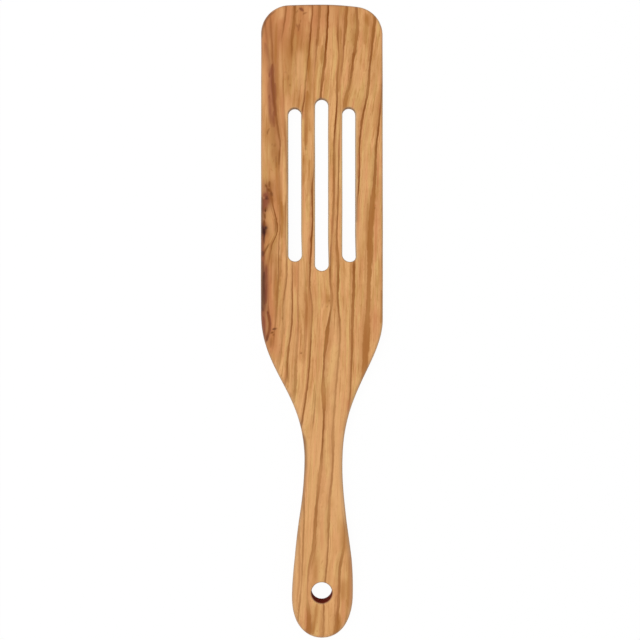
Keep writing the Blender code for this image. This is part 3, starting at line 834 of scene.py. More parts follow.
    def distance(
        self, stroke: Stroke, x: np.ndarray, y: np.ndarray
    ) -> tuple[np.ndarray, np.ndarray]:
        """How points lie to a stroke.

        Args:
            stroke: The stroke.
            x: The points' distances from the board's middle.
            y: The points' distances along the board.

        Returns:
            How far each point lies from the stroke's route, and how full its width is there.
        """
        nearest = np.full(len(x), np.inf)
        reached = np.zeros(len(x))
        route = [(self.scale.x(px), self.scale.y(py)) for px, py in stroke.route]
        gone = 0.0
        for (ax, ay), (bx, by) in zip(route, route[1:]):
            length = math.hypot(bx - ax, by - ay)
            along = ((x - ax) * (bx - ax) + (y - ay) * (by - ay)) / length**2
            along = np.clip(along, 0, 1)
            away = np.hypot(x - ax - along * (bx - ax), y - ay - along * (by - ay))
            reached = np.where(away < nearest, gone + along * length, reached)
            nearest = np.minimum(nearest, away)
            gone += length
        from_end = np.minimum(reached, gone - reached)
        full = np.clip(from_end / min(self.taper, self.taper_share * gone), 0, 1)
        return nearest, self.end_width + (1 - self.end_width) * full


@dataclass(frozen=True)
class OliveWood:
    """Oiled olive wood: honey-coloured, with crisp umber growth lines and a satin sheen.

    To the eye the wood is warm and busy: thin dark lines with a softer brown side, fine streaks
    between them, rosy heartwood, and a low gloss that breaks along the fibres.

    Attributes:
        honey: The palest wood between two growth lines.
        tan: The wood's middle tone.
        blush: The rosy streaks among the pale ones.
        straw: The yellowish ones.
        toast: The darker streaks.
        line: A broad growth line.
        fine_line: A narrow one at its darkest.
        tint_colours: The colour of each Stain, in that order.
        rim_shade: Painted shade on the rounded edges, strongest towards their walls.
        pale_wood_and_sheen: The slots' edges: paler wood on their walls and a painted sheen on
            their roundings.
        burn_and_shade: The hang hole's wall, charred by the drill and darkened further with painted
            shade; a little also on end grain across the fibres.
        ior: Refractive index of the oil.
        gloss: How strongly the surface mirrors.
        streak_width: Width of the broad streaks.
        fibre_width: Width of the fine streaks.
        pore_width: Width of a pore, drawn about three times as coarse as the real one to show.
        depth_stretch: How much longer a streak is in depth than in width.
        noise_step: How far apart the noises of two kinds of streak are taken.
        noise_roughness: How strong the finer detail of a noise is.
        noise_middle: The range in which nearly all values of a noise lie.
        waver: How far a growth line strays from its measured place, to either side.
        waver_scale: How fast that changes across the fibres, along them and in depth.
        swelling: The range in which a growth line swells and thins.
        core_fade: Where a line's dark core fades, in half widths from its middle.
        side_middle: Where its softer brown side is darkest, in half widths.
        side_fade: Where that side fades, counted from there.
        side_strength: How dark that side is.
        patchiness: The range in which a stain's strength varies along the fibres.
        satin: The roughness of the wood, from its smoothest fibres to its roughest.
        line_shine: How much smoother a growth line is.
        relief_share: How strongly the relief bends the light.
        grain_depth: How deep the fibres and pores are.
    """

    honey: str = "DDA76D"
    tan: str = "D29C65"
    blush: str = "DA9B67"
    straw: str = "D6AB6A"
    toast: str = "BA8145"
    line: str = "9E6226"
    fine_line: str = "824408"
    tint_colours: tuple[str, ...] = ("C47E50", "884A30", "A86C30", "7A4410", "3A0E04", "E0AA72")
    rim_shade: str = "8F7A66"
    pale_wood_and_sheen: str = "C8AE86"
    burn_and_shade: str = "7A1C08"
    ior: float = 1.47
    gloss: float = 0.14
    streak_width: float = 2.6
    fibre_width: float = 0.6
    pore_width: float = 0.3
    depth_stretch: float = 1.6
    noise_step: tuple[float, float] = (7.3, 3.1)
    noise_roughness: float = 0.55
    noise_middle: tuple[float, float] = (0.3, 0.7)
    waver: tuple[float, float] = (-0.12, 0.12)
    waver_scale: tuple[float, float, float] = (0.1, 0.22, 0.3)
    swelling: tuple[float, float] = (0.75, 1.25)
    core_fade: tuple[float, float] = (0.6, 1.15)
    side_middle: float = 0.9
    side_fade: tuple[float, float] = (0.3, 2.4)
    side_strength: float = 0.35
    patchiness: tuple[float, float] = (0.55, 1.25)
    satin: tuple[float, float] = (0.5, 0.64)
    line_shine: float = 0.1
    relief_share: float = 0.35
    grain_depth: float = 0.06

    def material(self) -> bpy.types.Material:
        """Builds the material.

        Returns:
            A material that reads the board's own attributes.
        """
        material, tree = empty_material("oiled_olive_wood")
        fibre = add_node(tree, "Attribute", [], "Vector", attribute_name="fibre")
        streaks = self.streaks(tree, fibre)
        line = self.growth_line(tree, fibre, streaks["bead"])
        looks = {
            "IOR": self.ior,
            "Specular IOR Level": self.gloss,
            "Base Color": self.colour(tree, streaks, line),
            "Roughness": self.roughness(tree, streaks, line),
            "Normal": self.relief(tree, streaks, line),
        }
        add_node(tree, "OutputMaterial", [add_node(tree, "BsdfPrincipled", looks)])
        return material

    def streaks(self, tree: NodeTree, fibre: Socket) -> dict[str, Socket]:
        """Noise drawn out along the fibres, from broad bands to pores.

        Args:
            tree: The material's nodes.
            fibre: The place of a point across its fibres, along them and in depth.

        Returns:
            One value from 0 to 1 for each kind of streak, by its name.
        """
        # Each kind's width and length in millimetres, and its noise's detail.
        kinds = {
            "band": (self.streak_width * 2.2, 70.0, 2.0),
            "streak": (self.streak_width, 34.0, 3.0),
            "fine": (self.fibre_width, 12.0, 2.0),
            "pore": (self.pore_width, 2.6, 1.0),
            "cloud": (9.0, 16.0, 2.0),
            "hair": (0.55, 30.0, 2.0),
            "bead": (1.6, 5.0, 2.0),
            "warm": (1.5, 26.0, 1.0),
            "cool": (1.8, 30.0, 1.0),
        }
        found = {}
        for i, (name, (width, length, detail)) in enumerate(kinds.items()):
            stretch = (1 / width, 1 / length, 1 / (width * self.depth_stretch))
            apart = (self.noise_step[0] * i, self.noise_step[1] * i, 0)
            place = {"Vector": fibre, "Scale": stretch, "Location": apart}
            drawn = {"Scale": 1.0, "Detail": detail, "Roughness": self.noise_roughness}
            drawn["Vector"] = add_node(tree, "Mapping", place)
            found[name] = add_node(tree, "TexNoise", drawn)
        return found

    def growth_line(self, tree: NodeTree, fibre: Socket, bead: Socket) -> Socket:
        """How dark the growth lines are at a point, from 0 to 1.

        Args:
            tree: The material's nodes.
            fibre: The place of a point across its fibres, along them and in depth.
            bead: Noise that swells and thins the lines along their way.

        Returns:
            The darkness.
        """
        add = partial(add_node, tree)
        growth = add("Attribute", [], "Vector", attribute_name="growth")
        ink = add("Attribute", [], "Vector", attribute_name="ink")
        ring, spacing, half_width = (add("SeparateXYZ", [growth], i) for i in range(3))
        dark, soft = (add("SeparateXYZ", [ink], i) for i in range(2))
        slow = add("Mapping", {"Vector": fibre, "Scale": self.waver_scale})
        waver = add("TexNoise", {"Vector": slow, "Scale": 1.0, "Detail": 3.0})
        waver = add("MapRange", [waver, *self.noise_middle, *self.waver])
        shift = add("Math", [waver, spacing], operation="DIVIDE")
        moved = add("Math", [ring, shift], operation="ADD")
        whole = add("Math", [moved], operation="ROUND")
        off = add("Math", [moved, whole], operation="SUBTRACT")
        away = add("Math", [off, spacing], operation="MULTIPLY")
        swollen = add("MapRange", [bead, *self.noise_middle, *self.swelling])
        width = add("Math", [half_width, swollen], operation="MULTIPLY")
        reach = add("Math", [away, width], operation="DIVIDE")
        middle = add("Math", [reach], operation="ABSOLUTE")
        smooth = {"interpolation_type": "SMOOTHSTEP"}
        core = add("MapRange", [middle, *self.core_fade, 1.0, 0.0], **smooth)
        late = add("Math", [reach, soft], operation="MULTIPLY")
        late = add("Math", [late, self.side_middle], operation="SUBTRACT")
        late = add("Math", [late], operation="ABSOLUTE")
        side = add("MapRange", [late, *self.side_fade, self.side_strength, 0.0], **smooth)
        drawn = add("Math", [core, side], operation="MAXIMUM")
        return add("Math", [drawn, dark], operation="MULTIPLY")

    def colour(self, tree: NodeTree, streaks: dict[str, Socket], line: Socket) -> Socket:
        """Lays the wood's tones over each other, one layer after the other.

        Args:
            tree: The material's nodes.
            streaks: The streaks' values, by name.
            line: The growth lines' darkness.

        Returns:
            The colour.
        """
        add = partial(add_node, tree)
        # Each kind of streak, the values between which it fades in, its colour and its strength.
        tones = [
            ("band", 0.44, 0.56, self.tan, 0.85),
            ("warm", 0.50, 0.58, self.blush, 0.7),
            ("cool", 0.52, 0.60, self.straw, 0.7),
            ("cloud", 0.52, 0.68, self.tint_colours[ROSE.value], 0.3),
            ("streak", 0.52, 0.64, self.toast, 0.5),
            ("fine", 0.50, 0.64, self.toast, 0.5),
            ("hair", 0.60, 0.68, self.line, 0.6),
            ("pore", 0.60, 0.72, self.line, 0.4),
        ]
        layers = [
            (add("MapRange", [streaks[name], low, high, 0.0, most]), linear(tone))
            for name, low, high, tone, most in tones
        ]
        names = ("tints_a", "tints_b", "ink")
        *halves, ink = (add("Attribute", [], "Vector", attribute_name=name) for name in names)
        for tint, tone in zip(Stain, self.tint_colours):
            amount = add("SeparateXYZ", [halves[tint.value // 3]], tint.value % 3)
            broken = add("MapRange", [streaks["streak"], *self.noise_middle, *self.patchiness])
            amount = add("Math", [amount, broken], operation="MULTIPLY", use_clamp=True)
            layers.append((amount, linear(tone)))
        narrow = add("SeparateXYZ", [ink], 2)
        inked = {0: narrow, 6: linear(self.line), 7: linear(self.fine_line)}
        layers.append((line, add("Mix", inked, 2, data_type="RGBA")))
        # Each kind of edge, its strength and its colour: painted shade on the rounded edges, paler
        # wood and painted sheen on the slots' edges, charring and painted shade on the hole's wall.
        for name, most, tone in (
            ("rim", 0.55, self.rim_shade),
            ("pale_wood_and_sheen_amount", 0.6, self.pale_wood_and_sheen),
            ("burn_and_shade", 1.0, self.burn_and_shade),
        ):
            amount = add("Attribute", [], "Fac", attribute_name=name)
            layers.append((add("Math", [amount, most], operation="MULTIPLY"), linear(tone)))
        colour: Any = linear(self.honey)
        for amount, tone in layers:
            colour = add("Mix", {0: amount, 6: colour, 7: tone}, 2, data_type="RGBA")
        return colour

    def roughness(self, tree: NodeTree, streaks: dict[str, Socket], line: Socket) -> Socket:
        """Satin between the growth lines, glossier on the dense ones and dull on the charred and
        shaded walls.

        Args:
            tree: The material's nodes.
            streaks: The streaks' values, by name.
            line: The growth lines' darkness.

        Returns:
            The roughness.
        """
        satin = add_node(tree, "MapRange", [streaks["fine"], *self.noise_middle, *self.satin])
        dense = add_node(tree, "Math", [line, self.line_shine], operation="MULTIPLY")
        wood = add_node(tree, "Math", [satin, dense], operation="SUBTRACT")
        burnt_and_shaded = add_node(tree, "Attribute", [], "Fac", attribute_name="burn_and_shade")
        return add_node(tree, "Math", [wood, burnt_and_shaded], operation="MAXIMUM")

    def relief(self, tree: NodeTree, streaks: dict[str, Socket], line: Socket) -> Socket:
        """Fibres, pores and growth lines that stand a hair proud or sunk after sanding.

        Args:
            tree: The material's nodes.
            streaks: The streaks' values, by name.
            line: The growth lines' darkness.

        Returns:
            The bent normal.
        """
        height = add_node(tree, "Math", [streaks["fine"], line], operation="ADD")
        height = add_node(tree, "Math", [height, streaks["pore"]], operation="SUBTRACT")
        bent = {"Height": height, "Strength": self.relief_share, "Distance": self.grain_depth * MM}
        return add_node(tree, "Bump", bent)


@dataclass
class Rim:
    """One edge of the board all the way round, sawn, routed or drilled and then rounded over.

    Attributes:
        points: The edge's outline, with the wood on its right hand.
        radius: The rounding's radius at a distance along the board.
        rounding_steps: How many rings each rounding gets.
        pale_wood_and_sheen_amount: How strongly the edge gets paler wood and a painted sheen.
        wall_burn_and_shade: How dark the wall is made, partly charring by the tool and partly
            painted shade.
        end_burn: How much darker the wall is where it cuts across the fibres.
        wall_steps: How many rings the wall between the roundings gets.
        least_wall_share: The least share of the thickness that is left between the roundings.
        pale_wood_and_sheen: How strongly the wall gets paler wood, and how much more painted sheen
            its roundings get.
        burn_and_shade_fall: How fast the charring and painted shade end where the rounding starts.
    """

    points: list[Vector]
    radius: Callable[[float], float]
    rounding_steps: int
    pale_wood_and_sheen_amount: float = 0.0
    wall_burn_and_shade: float = 0.0
    end_burn: float = 0.0
    wall_steps: int = 3
    least_wall_share: float = 0.14
    pale_wood_and_sheen: tuple[float, float] = (0.45, 0.35)
    burn_and_shade_fall: int = 5

    def into_the_wood(self) -> list[Vector]:
        """Finds the way from the edge into the wood.

        Returns:
            One direction for each point of the edge.
        """
        directions = []
        for i, point in enumerate(self.points):
            after = self.points[(i + 1) % len(self.points)]
            run = (after - point).normalized() + (point - self.points[i - 1]).normalized()
            directions.append(Vector((run.y, -run.x)).normalized())
        return directions

    def levels(self) -> list[tuple[float, float]]:
        """Sets out the rings from the back face to the front one.

        Returns:
            For each ring, its angle in the rounding and its share of the way up the wall, which
            is 0 for the whole back rounding and 1 for the front one.
        """
        turn = [math.pi / 2 * i / self.rounding_steps for i in range(self.rounding_steps + 1)]
        wall = [(0.0, i / self.wall_steps) for i in range(1, self.wall_steps)]
        return [(a, 0.0) for a in reversed(turn)] + wall + [(a, 1.0) for a in turn]


@dataclass
class Slot:
    """One routed slot with round ends.

    Attributes:
        x: Its middle, from the board's middle.
        length: From end to end.
        foot_shift: How far its lower end wandered sideways.
        foot_spread: How much wider its lower end is.
        foot_lean: How far the lowest point of its round end leans sideways.
    """

    x: float
    length: float
    foot_shift: float = 0.0
    foot_spread: float = 0.0
    foot_lean: float = 0.0


@dataclass
class OliveBoard:
    """The spurtle: one board of olive wood, and everything cut into it.

    A name that ends in pull or pulls is how far a curve is drawn along its side before it bends,
    as a share of its length. A pair of values is for the left side and the right one.

    Attributes:
        blade_length: From the tip to where the shoulders start.
        shoulder_length: From there to the neck.
        butt_length: From the handle's widest place to its end.
        handle_drift: How far the handle's middle stands to the right, as (y, shift).
        corner: Radius of the blade's corners.
        tip_slopes: How steeply the tip's edge meets each corner, in degrees.
        hand_shaving: How much was shaved off each side of the blade.
        shoulder_lifts: How much higher than blade_length each shoulder starts.
        tip_thickness: What the wedge of the blade comes down to.
        wedge_start_above_neck: How far above the neck the wedge of the blade starts.
        wedge_easing: How long it takes to come to its full slope.
        blade_edge: Rounding along the blade.
        handle_edge: Rounding along the handle.
        slot_edge: Rounding of the slots.
        hole_edge: Rounding of the hang hole.
        outline_burn: How dark the saw left the outline where it cuts across the fibres.
        hole_burn_and_shade: How dark the hang hole's wall is made, partly charring by the drill and
            partly painted shade, and how much more across the fibres.
        outer_steps: How many rings the outline's roundings get.
        opening_steps: How many the roundings of the slots and the hole get.
        slot_foot: How far above the centre of a slot's lower end its unevenness starts.
        measuring_steps: How many points a curve's length is measured by.
        spacing: Between the points of an outline.
        arc_share: The share of it that is left between the points of an arc.
        front_spacing: Between the points of the front face's grid.
        back_spacing: Between the points of the back face's grid.
        grid_clearance: How far the grids stay off the roundings, as a share of their spacing.
        wander: How far the whole board strays from straight.
        wander_period: How far along the board that takes to change.
        fine_line: Half width of a growth line that has the darkest colour.
        broad_line: Half width of one that has the plain colour.
        fibres: Where the growth lines and tints run, the painted shade and light along some edges
            included.
        wood: The finish.
    """

    blade_length: float = 162.0
    shoulder_length: float = 75.7
    butt_length: float = 22.4
    neck_width: float = 19.75
    handle_width: float = 31.8
    handle_drift: tuple[tuple[float, float], ...] = (
        (-165, 0.0), (-156, 0.0), (-140, 0.3), (-124, 0.65), (-105, 0.4), (-89, 0.65),
        (-70, 0.85), (-52, 0.65), (-30, 0.15), (-10, 0.0),
    )
    corner: float = 14.9
    tip_slopes: tuple[float, float] = (2.2, 7.6)
    hand_shaving: float = 0.15
    shoulder_lifts: tuple[float, float] = (1.9, -1.6)
    shoulder_pulls: tuple[float, float] = (0.39, 0.313)
    neck_pulls_up: tuple[float, float] = (0.495, 0.478)
    neck_pull_down: float = 0.354
    flare_pull: float = 0.36
    butt_side_pull: float = 0.65
    butt_end_pull: float = 0.573
    tip_thickness: float = 3.0
    wedge_start_above_neck: float = 15.7
    wedge_easing: float = 60.0
    blade_edge: float = 1.2
    handle_edge: float = 2.8
    slot_edge: float = 0.6
    hole_edge: float = 0.7
    outline_burn: float = 0.04
    hole_burn_and_shade: tuple[float, float] = (0.92, 0.05)
    outer_steps: int = 7
    opening_steps: int = 4
    slot_width: float = 6.8
    slot_centre_from_tip: float = 94.0
    slots: tuple[Slot, ...] = (
        Slot(-14.15, 79.8, foot_shift=0.15, foot_spread=0.3),
        Slot(-0.15, 89.6, foot_shift=0.05, foot_spread=0.3),
        Slot(14.0, 80.2, foot_shift=0.15, foot_spread=0.4, foot_lean=0.4),
    )
    slot_foot: float = 14.0
    hole_diameter: float = 10.8
    hole_x: float = -0.1
    hole_from_end: float = 24.1
    measuring_steps: int = 32
    spacing: float = 0.8
    arc_share: float = 0.7
    front_spacing: float = 0.5
    back_spacing: float = 1.2
    grid_clearance: float = 0.75
    wander: float = 0.1
    wander_period: float = 22.0
    fine_line: float = 0.5
    broad_line: float = 4 / 3
    fibres: FibreMap = field(default_factory=FibreMap)
    wood: OliveWood = field(default_factory=OliveWood)

    def __post_init__(self) -> None:
        """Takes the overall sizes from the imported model."""
        low, high = (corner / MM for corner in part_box("spurtle"))
        self.blade_width = high.x - low.x
        self.thickness = high.z - low.z
        self.tip_y = high.y
        self.end_y = low.y
        self.shoulder_y = self.tip_y - self.blade_length
        self.neck_y = self.shoulder_y - self.shoulder_length
        self.widest_y = self.end_y + self.butt_length

    def front_height(self, y: float) -> float:
        """Height of the front face: flat on the handle, then a wedge down to the tip.

        Args:
            y: The place along the board.

        Returns:
            The height over the back face.
        """
        start = self.neck_y + self.wedge_start_above_neck
        fall = self.thickness - self.tip_thickness
        slope = fall / (self.tip_y - start - self.wedge_easing / 2)
        along = y - start
        if along <= 0:
            return self.thickness
        if along < self.wedge_easing:
            return self.thickness - slope * along * along / (2 * self.wedge_easing)
        return self.thickness - slope * (along - self.wedge_easing / 2)

    def outer_radius(self, y: float) -> float:
        """The outline's rounding: small on the blade, fuller on the handle."""
        handle_share = 1 - ease(self.neck_y, self.shoulder_y, y)
        return self.blade_edge + (self.handle_edge - self.blade_edge) * handle_share

    def straight(self, start: Vector, end: Vector) -> list[Vector]:
        """Evenly spaced points of a straight stretch, without its last one."""
        steps = max(1, round((end - start).length / self.spacing))
        return [start.lerp(end, i / steps) for i in range(steps)]

    def bend(self, *knots: tuple[float, float]) -> list[Vector]:
        """Draws one Bezier stretch.

        Args:
            *knots: Its start, its two pulls and its end.

        Returns:
            Its points, without the last one.
        """
        corners = [Vector(knot) for knot in knots]
        rough = interpolate_bezier(*corners, self.measuring_steps)
        length = sum((b - a).length for a, b in zip(rough, rough[1:]))
        return interpolate_bezier(*corners, max(2, round(length / self.spacing)) + 1)[:-1]

    def arc(self, centre: Vector, radius: float, start: float, end: float) -> list[Vector]:
        """Draws an arc.

        Args:
            centre: Its centre.
            radius: Its radius.
            start: Where it starts, in degrees counterclockwise from +X.
            end: Where it ends.

        Returns:
            Its points, without the last one.
        """
        length = math.radians(abs(end - start)) * radius
        steps = max(4, round(length / (self.spacing * self.arc_share)))
        angles = [math.radians(start + (end - start) * i / steps) for i in range(steps)]
        return [centre + radius * Vector((math.cos(a), math.sin(a))) for a in angles]

    def drift(self, y: float) -> float:
        """How far the handle's middle stands to the right at a place along the board."""
        places, shifts = zip(*self.handle_drift)
        return float(np.interp(y, places, shifts))

    def side(self, sign: int) -> list[Vector]:
        """One side of the outline, from the middle of the tip to the middle of the end.

        Args:
            sign: 1 for the right side, -1 for the left one.

        Returns:
            The points, both ends included.
        """
        pairs = (self.tip_slopes, self.shoulder_lifts, self.shoulder_pulls, self.neck_pulls_up)
        tip_slope, lift, pull, pull_up = (pair[sign > 0] for pair in pairs)
        half = self.blade_width / 2 - self.hand_shaving
        corner_x = half - self.corner
        reach = corner_x + self.corner * math.sin(math.radians(tip_slope))
        fall = reach * math.tan(math.radians(tip_slope)) / 2
        corner_y = self.tip_y - fall - self.corner * math.cos(math.radians(tip_slope))
        across = self.straight(Vector((0, 0)), Vector((reach, 0)))
        points = [Vector((p.x, self.tip_y - fall * (p.x / reach) ** 2)) for p in across]
        points += self.arc(Vector((corner_x, corner_y)), self.corner, 90 - tip_slope, 0)
        points = [Vector((sign * p.x, p.y)) for p in points]
        shoulder_y = self.shoulder_y + lift
        points += self.straight(Vector((sign * half, corner_y)), Vector((sign * half, shoulder_y)))
        neck_x = sign * self.neck_width / 2
        handle_x = sign * self.handle_width / 2
        flare = self.neck_y - self.widest_y
        points += self.bend(
            (sign * half, shoulder_y),
            (sign * half, self.shoulder_y - pull * self.shoulder_length),
            (neck_x, self.neck_y + pull_up * self.shoulder_length),
            (neck_x, self.neck_y),
        )
        points += self.bend(
            (neck_x, self.neck_y),
            (neck_x, self.neck_y - self.neck_pull_down * flare),
            (handle_x, self.widest_y + self.flare_pull * flare),
            (handle_x, self.widest_y),
        )
        points += self.bend(
            (handle_x, self.widest_y),
            (handle_x, self.widest_y - self.butt_side_pull * self.butt_length),
            (self.butt_end_pull * handle_x, self.end_y),
            (0, self.end_y),
        )
        return [Vector((p.x + self.drift(p.y), p.y)) for p in [*points, Vector((0, self.end_y))]]

    def slot_points(self, slot: Slot) -> list[Vector]:
        """The outline of one slot, with its lower end as it wandered.

        Args:
            slot: The slot.

        Returns:
            The points, counterclockwise.
        """
        middle = self.tip_y - self.slot_centre_from_tip
        radius = self.slot_width / 2
        reach = slot.length / 2 - radius
        top, foot = Vector((0, middle + reach)), Vector((0, middle - reach))
        side = Vector((radius, 0))
        points = self.arc(top, radius, 0, 180) + self.straight(top - side, foot - side)
        points += self.arc(foot, radius, 180, 360) + self.straight(foot + side, top + side)
        shaped = []
        for p in points:
            low = 1 - ease(foot.y - radius, foot.y + self.slot_foot, p.y)
            wide = 1 + slot.foot_spread / self.slot_width * low
            lean = slot.foot_lean * max(0.0, (foot.y - p.y) / radius)
            shaped.append(Vector((slot.x + p.x * wide + slot.foot_shift * low + lean, p.y)))
        return shaped

    def rims(self) -> list[Rim]:
        """Sets out every edge of the board.

        Returns:
            The outline, the slots and the hang hole.
        """
        outline = self.side(1) + self.side(-1)[-2:0:-1]
        found = [Rim(outline, self.outer_radius, self.outer_steps, end_burn=self.outline_burn)]
        for slot in self.slots:
            points = self.slot_points(slot)
            found.append(Rim(points, lambda y: self.slot_edge, self.opening_steps, pale_wood_and_sheen_amount=1.0))
        centre = Vector((self.hole_x, self.end_y + self.hole_from_end))
        hole = self.arc(centre, self.hole_diameter / 2, 0, 360)
        # The hang hole's wall is darkened: partly charring by the drill, partly painted shade in
        # the hole.
        wall_burn_and_shade, more = self.hole_burn_and_shade
        drilled = Rim(hole, lambda y: self.hole_edge, self.opening_steps, wall_burn_and_shade=wall_burn_and_shade, end_burn=more)
        return [*found, drilled]

    def loft(self, bm: bmesh.types.BMesh, rim: Rim) -> tuple[list, list]:
        """Lofts one edge's wall with its roundings, ring by ring.

        Args:
            bm: The mesh to add to.
            rim: The edge.

        Returns:
            The edges where it meets the back face, and those where it meets the front one.
        """
        rim_shade_layer = bm.verts.layers.float["rim"]
        pale_wood_and_sheen_layer = bm.verts.layers.float["pale_wood_and_sheen_amount"]
        burn_and_shade_layer = bm.verts.layers.float["burn_and_shade"]
        directions = rim.into_the_wood()
        rings = []
        for angle, share in rim.levels():
            ring = []
            for point, direction in zip(rim.points, directions):
                radius = rim.radius(point.y)
                room = self.front_height(point.y) * (1 - rim.least_wall_share) / 2
                drop = min(radius, room) * (1 - math.sin(angle))
                place = point + direction * radius * (1 - math.cos(angle))
                height = drop + (self.front_height(place.y) - 2 * drop) * share
                vert = bm.verts.new((place.x, place.y, height))
                # rim holds painted shade on the roundings: 1 on the wall, falling to 0 on the face.
                vert[rim_shade_layer] = math.cos(angle) ** (radius / self.blade_edge)
                across = abs(direction.y)
                # Paler wood on the slots' walls and a painted sheen, strongest halfway round their
                # roundings.
                pale_wood_and_sheen_amount = rim.pale_wood_and_sheen[0] + rim.pale_wood_and_sheen[1] * math.sin(2 * angle)
                vert[pale_wood_and_sheen_layer] = pale_wood_and_sheen_amount * rim.pale_wood_and_sheen_amount * (1 - across)
                # Charring and painted shade on the hole's wall, and darker end grain where a wall
                # cuts across the fibres.
                wall_burn_and_shade = rim.wall_burn_and_shade + rim.end_burn * across
                vert[burn_and_shade_layer] = math.cos(angle) ** rim.burn_and_shade_fall * wall_burn_and_shade
                ring.append(vert)
            rings.append(ring)
        loops = [
            [bm.edges.new((a, b)) for a, b in zip(ring, ring[1:] + ring[:1])] for ring in rings
        ]
        for lower, upper in zip(loops, loops[1:]):
            bmesh.ops.bridge_loops(bm, edges=lower + upper)
        return loops[0], loops[-1]

    def clear_of_rims(self, rims: list[Rim]) -> Callable[[Vector, float], bool]:
        """Makes a test for places on a face.

        Args:
            rims: Every edge of the board.

        Returns:
            The test, which takes a place and its least distance from the roundings.
        """
        tree = KDTree(sum(len(rim.points) for rim in rims))
        inward = []
        for rim in rims:
            for point, direction in zip(rim.points, rim.into_the_wood()):
                place = point + direction * rim.radius(point.y)
                tree.insert((place.x, place.y, 0), len(inward))
                inward.append(direction)
        tree.balance()

        def clear(place: Vector, least: float) -> bool:
            """Tests one place.

            Args:
                place: The place.
                least: The least distance from every rounding.

            Returns:
                Whether it lies in the wood and clear of them.
            """
            found, index, distance = tree.find((place.x, place.y, 0))
            away = Vector((place.x - found.x, place.y - found.y))
            return distance > least and away.dot(inward[index]) > 0

        return clear

    def tile(
        self,
        bm: bmesh.types.BMesh,
        border: list,
        clear: Callable[[Vector, float], bool],
        front: bool,
    ) -> None:
        """Tiles one face with an even grid and stitches the grid to the roundings.

        Args:
            bm: The mesh to add to.
            border: The edges where the roundings meet the face.
            clear: The test for places that a grid's corner may take.
            front: Whether this is the front face, which follows the wedge.
        """
        spacing = self.front_spacing if front else self.back_spacing
        half_x, half_y = self.blade_width / 2, (self.tip_y - self.end_y) / 2
        middle_y = (self.tip_y + self.end_y) / 2
        grid = bmesh.ops.create_grid(
            bm,
            x_segments=round(2 * half_x / spacing),
            y_segments=round(2 * half_y / spacing),
            size=1.0,
            matrix=Matrix.Translation((0, middle_y, 0)) @ Matrix.Diagonal((half_x, half_y, 1, 1)),
        )
        verts = grid["verts"]
        outside = [v for v in verts if not clear(v.co, spacing * self.grid_clearance)]
        while outside:
            bmesh.ops.delete(bm, geom=outside, context="VERTS")
            verts = [v for v in verts if v.is_valid]
            outside = [
                v for v in verts if not v.link_faces or sum(e.is_boundary for e in v.link_edges) > 2
            ]
        bare = list({e for v in verts for e in v.link_edges if e.is_wire})
        bmesh.ops.delete(bm, geom=bare, context="EDGES")
        for vert in verts:
            vert.co.z = self.front_height(vert.co.y) if front else 0.0
        seam = list({e for v in verts for e in v.link_edges if e.is_boundary})
        normal = (0, 0, 1 if front else -1)
        bmesh.ops.triangle_fill(bm, use_beauty=True, edges=border + seam, normal=normal)

    def wandered(self, place: Vector) -> Vector:
        """Moves a point by the slow unevenness of sawing and sanding by hand."""
        slow = noise.noise(place / self.wander_period) * self.wander
        return place + Vector((slow, 0, 0))

    def model(self) -> bpy.types.Object:
        """Models the board.

        Returns:
            The finished object, in metres.
        """
        bm = bmesh.new()
        for name in ("rim", "pale_wood_and_sheen_amount", "burn_and_shade"):
            bm.verts.layers.float.new(name)
        rims = self.rims()
        back, front = [], []
        for rim in rims:
            at_back, at_front = self.loft(bm, rim)
            back += at_back
            front += at_front
        clear = self.clear_of_rims(rims)
        self.tile(bm, back, clear, front=False)
        self.tile(bm, front, clear, front=True)
        bmesh.ops.recalc_face_normals(bm, faces=bm.faces)
        for vert in bm.verts:
            vert.co = self.wandered(vert.co)
        LOG.info("open edges left: %d", sum(not e.is_manifold for e in bm.edges))
        mesh = bpy.data.meshes.new("olive_board")
        bm.to_mesh(mesh)
        bm.free()
        self.map_fibres(mesh)
        mesh.transform(Matrix.Scale(MM, 4))
        mesh.shade_smooth()
        return place_object("olive_board", mesh)

    def map_fibres(self, mesh: bpy.types.Mesh) -> None:
        """Stores on the mesh where its fibres, growth lines and tints run, painted edge shade and
        light among the tints.

        Args:
            mesh: The board's mesh, in millimetres.
        """
        places = np.zeros(len(mesh.vertices) * 3, np.float32)
        mesh.vertices.foreach_get("co", places)
        x, y, z = places.reshape(-1, 3).T.astype(float)
        depth = np.array([self.front_height(v) for v in y]) - z
        on_front = x + self.fibres.lean * depth
        growth = self.fibres.growth(on_front, y)
        tints = self.fibres.tints(on_front, y)
        narrow = np.interp(growth["half_width"], (self.fine_line, self.broad_line), (1, 0))
        vectors = {
            "fibre": (growth["fibre"], y, depth),
            "growth": (growth["ring"], growth["spacing"], growth["half_width"]),
            "ink": (growth["dark"], growth["soft"], narrow),
            "tints_a": tuple(tints.T[:3]),
            "tints_b": tuple(tints.T[3:]),
        }
        for name, parts in vectors.items():
            attribute = mesh.attributes.new(name, "FLOAT_VECTOR", "POINT")
            attribute.data.foreach_set("vector", np.stack(parts, axis=1).astype(np.float32).ravel())

    def build(self) -> bpy.types.Object:
        """Models and dresses the board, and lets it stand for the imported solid.

        Returns:
            The board.
        """
        piece = self.model()
        piece.data.materials.append(self.wood.material())
        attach(piece, "root")
        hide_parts("spurtle")
        return piece


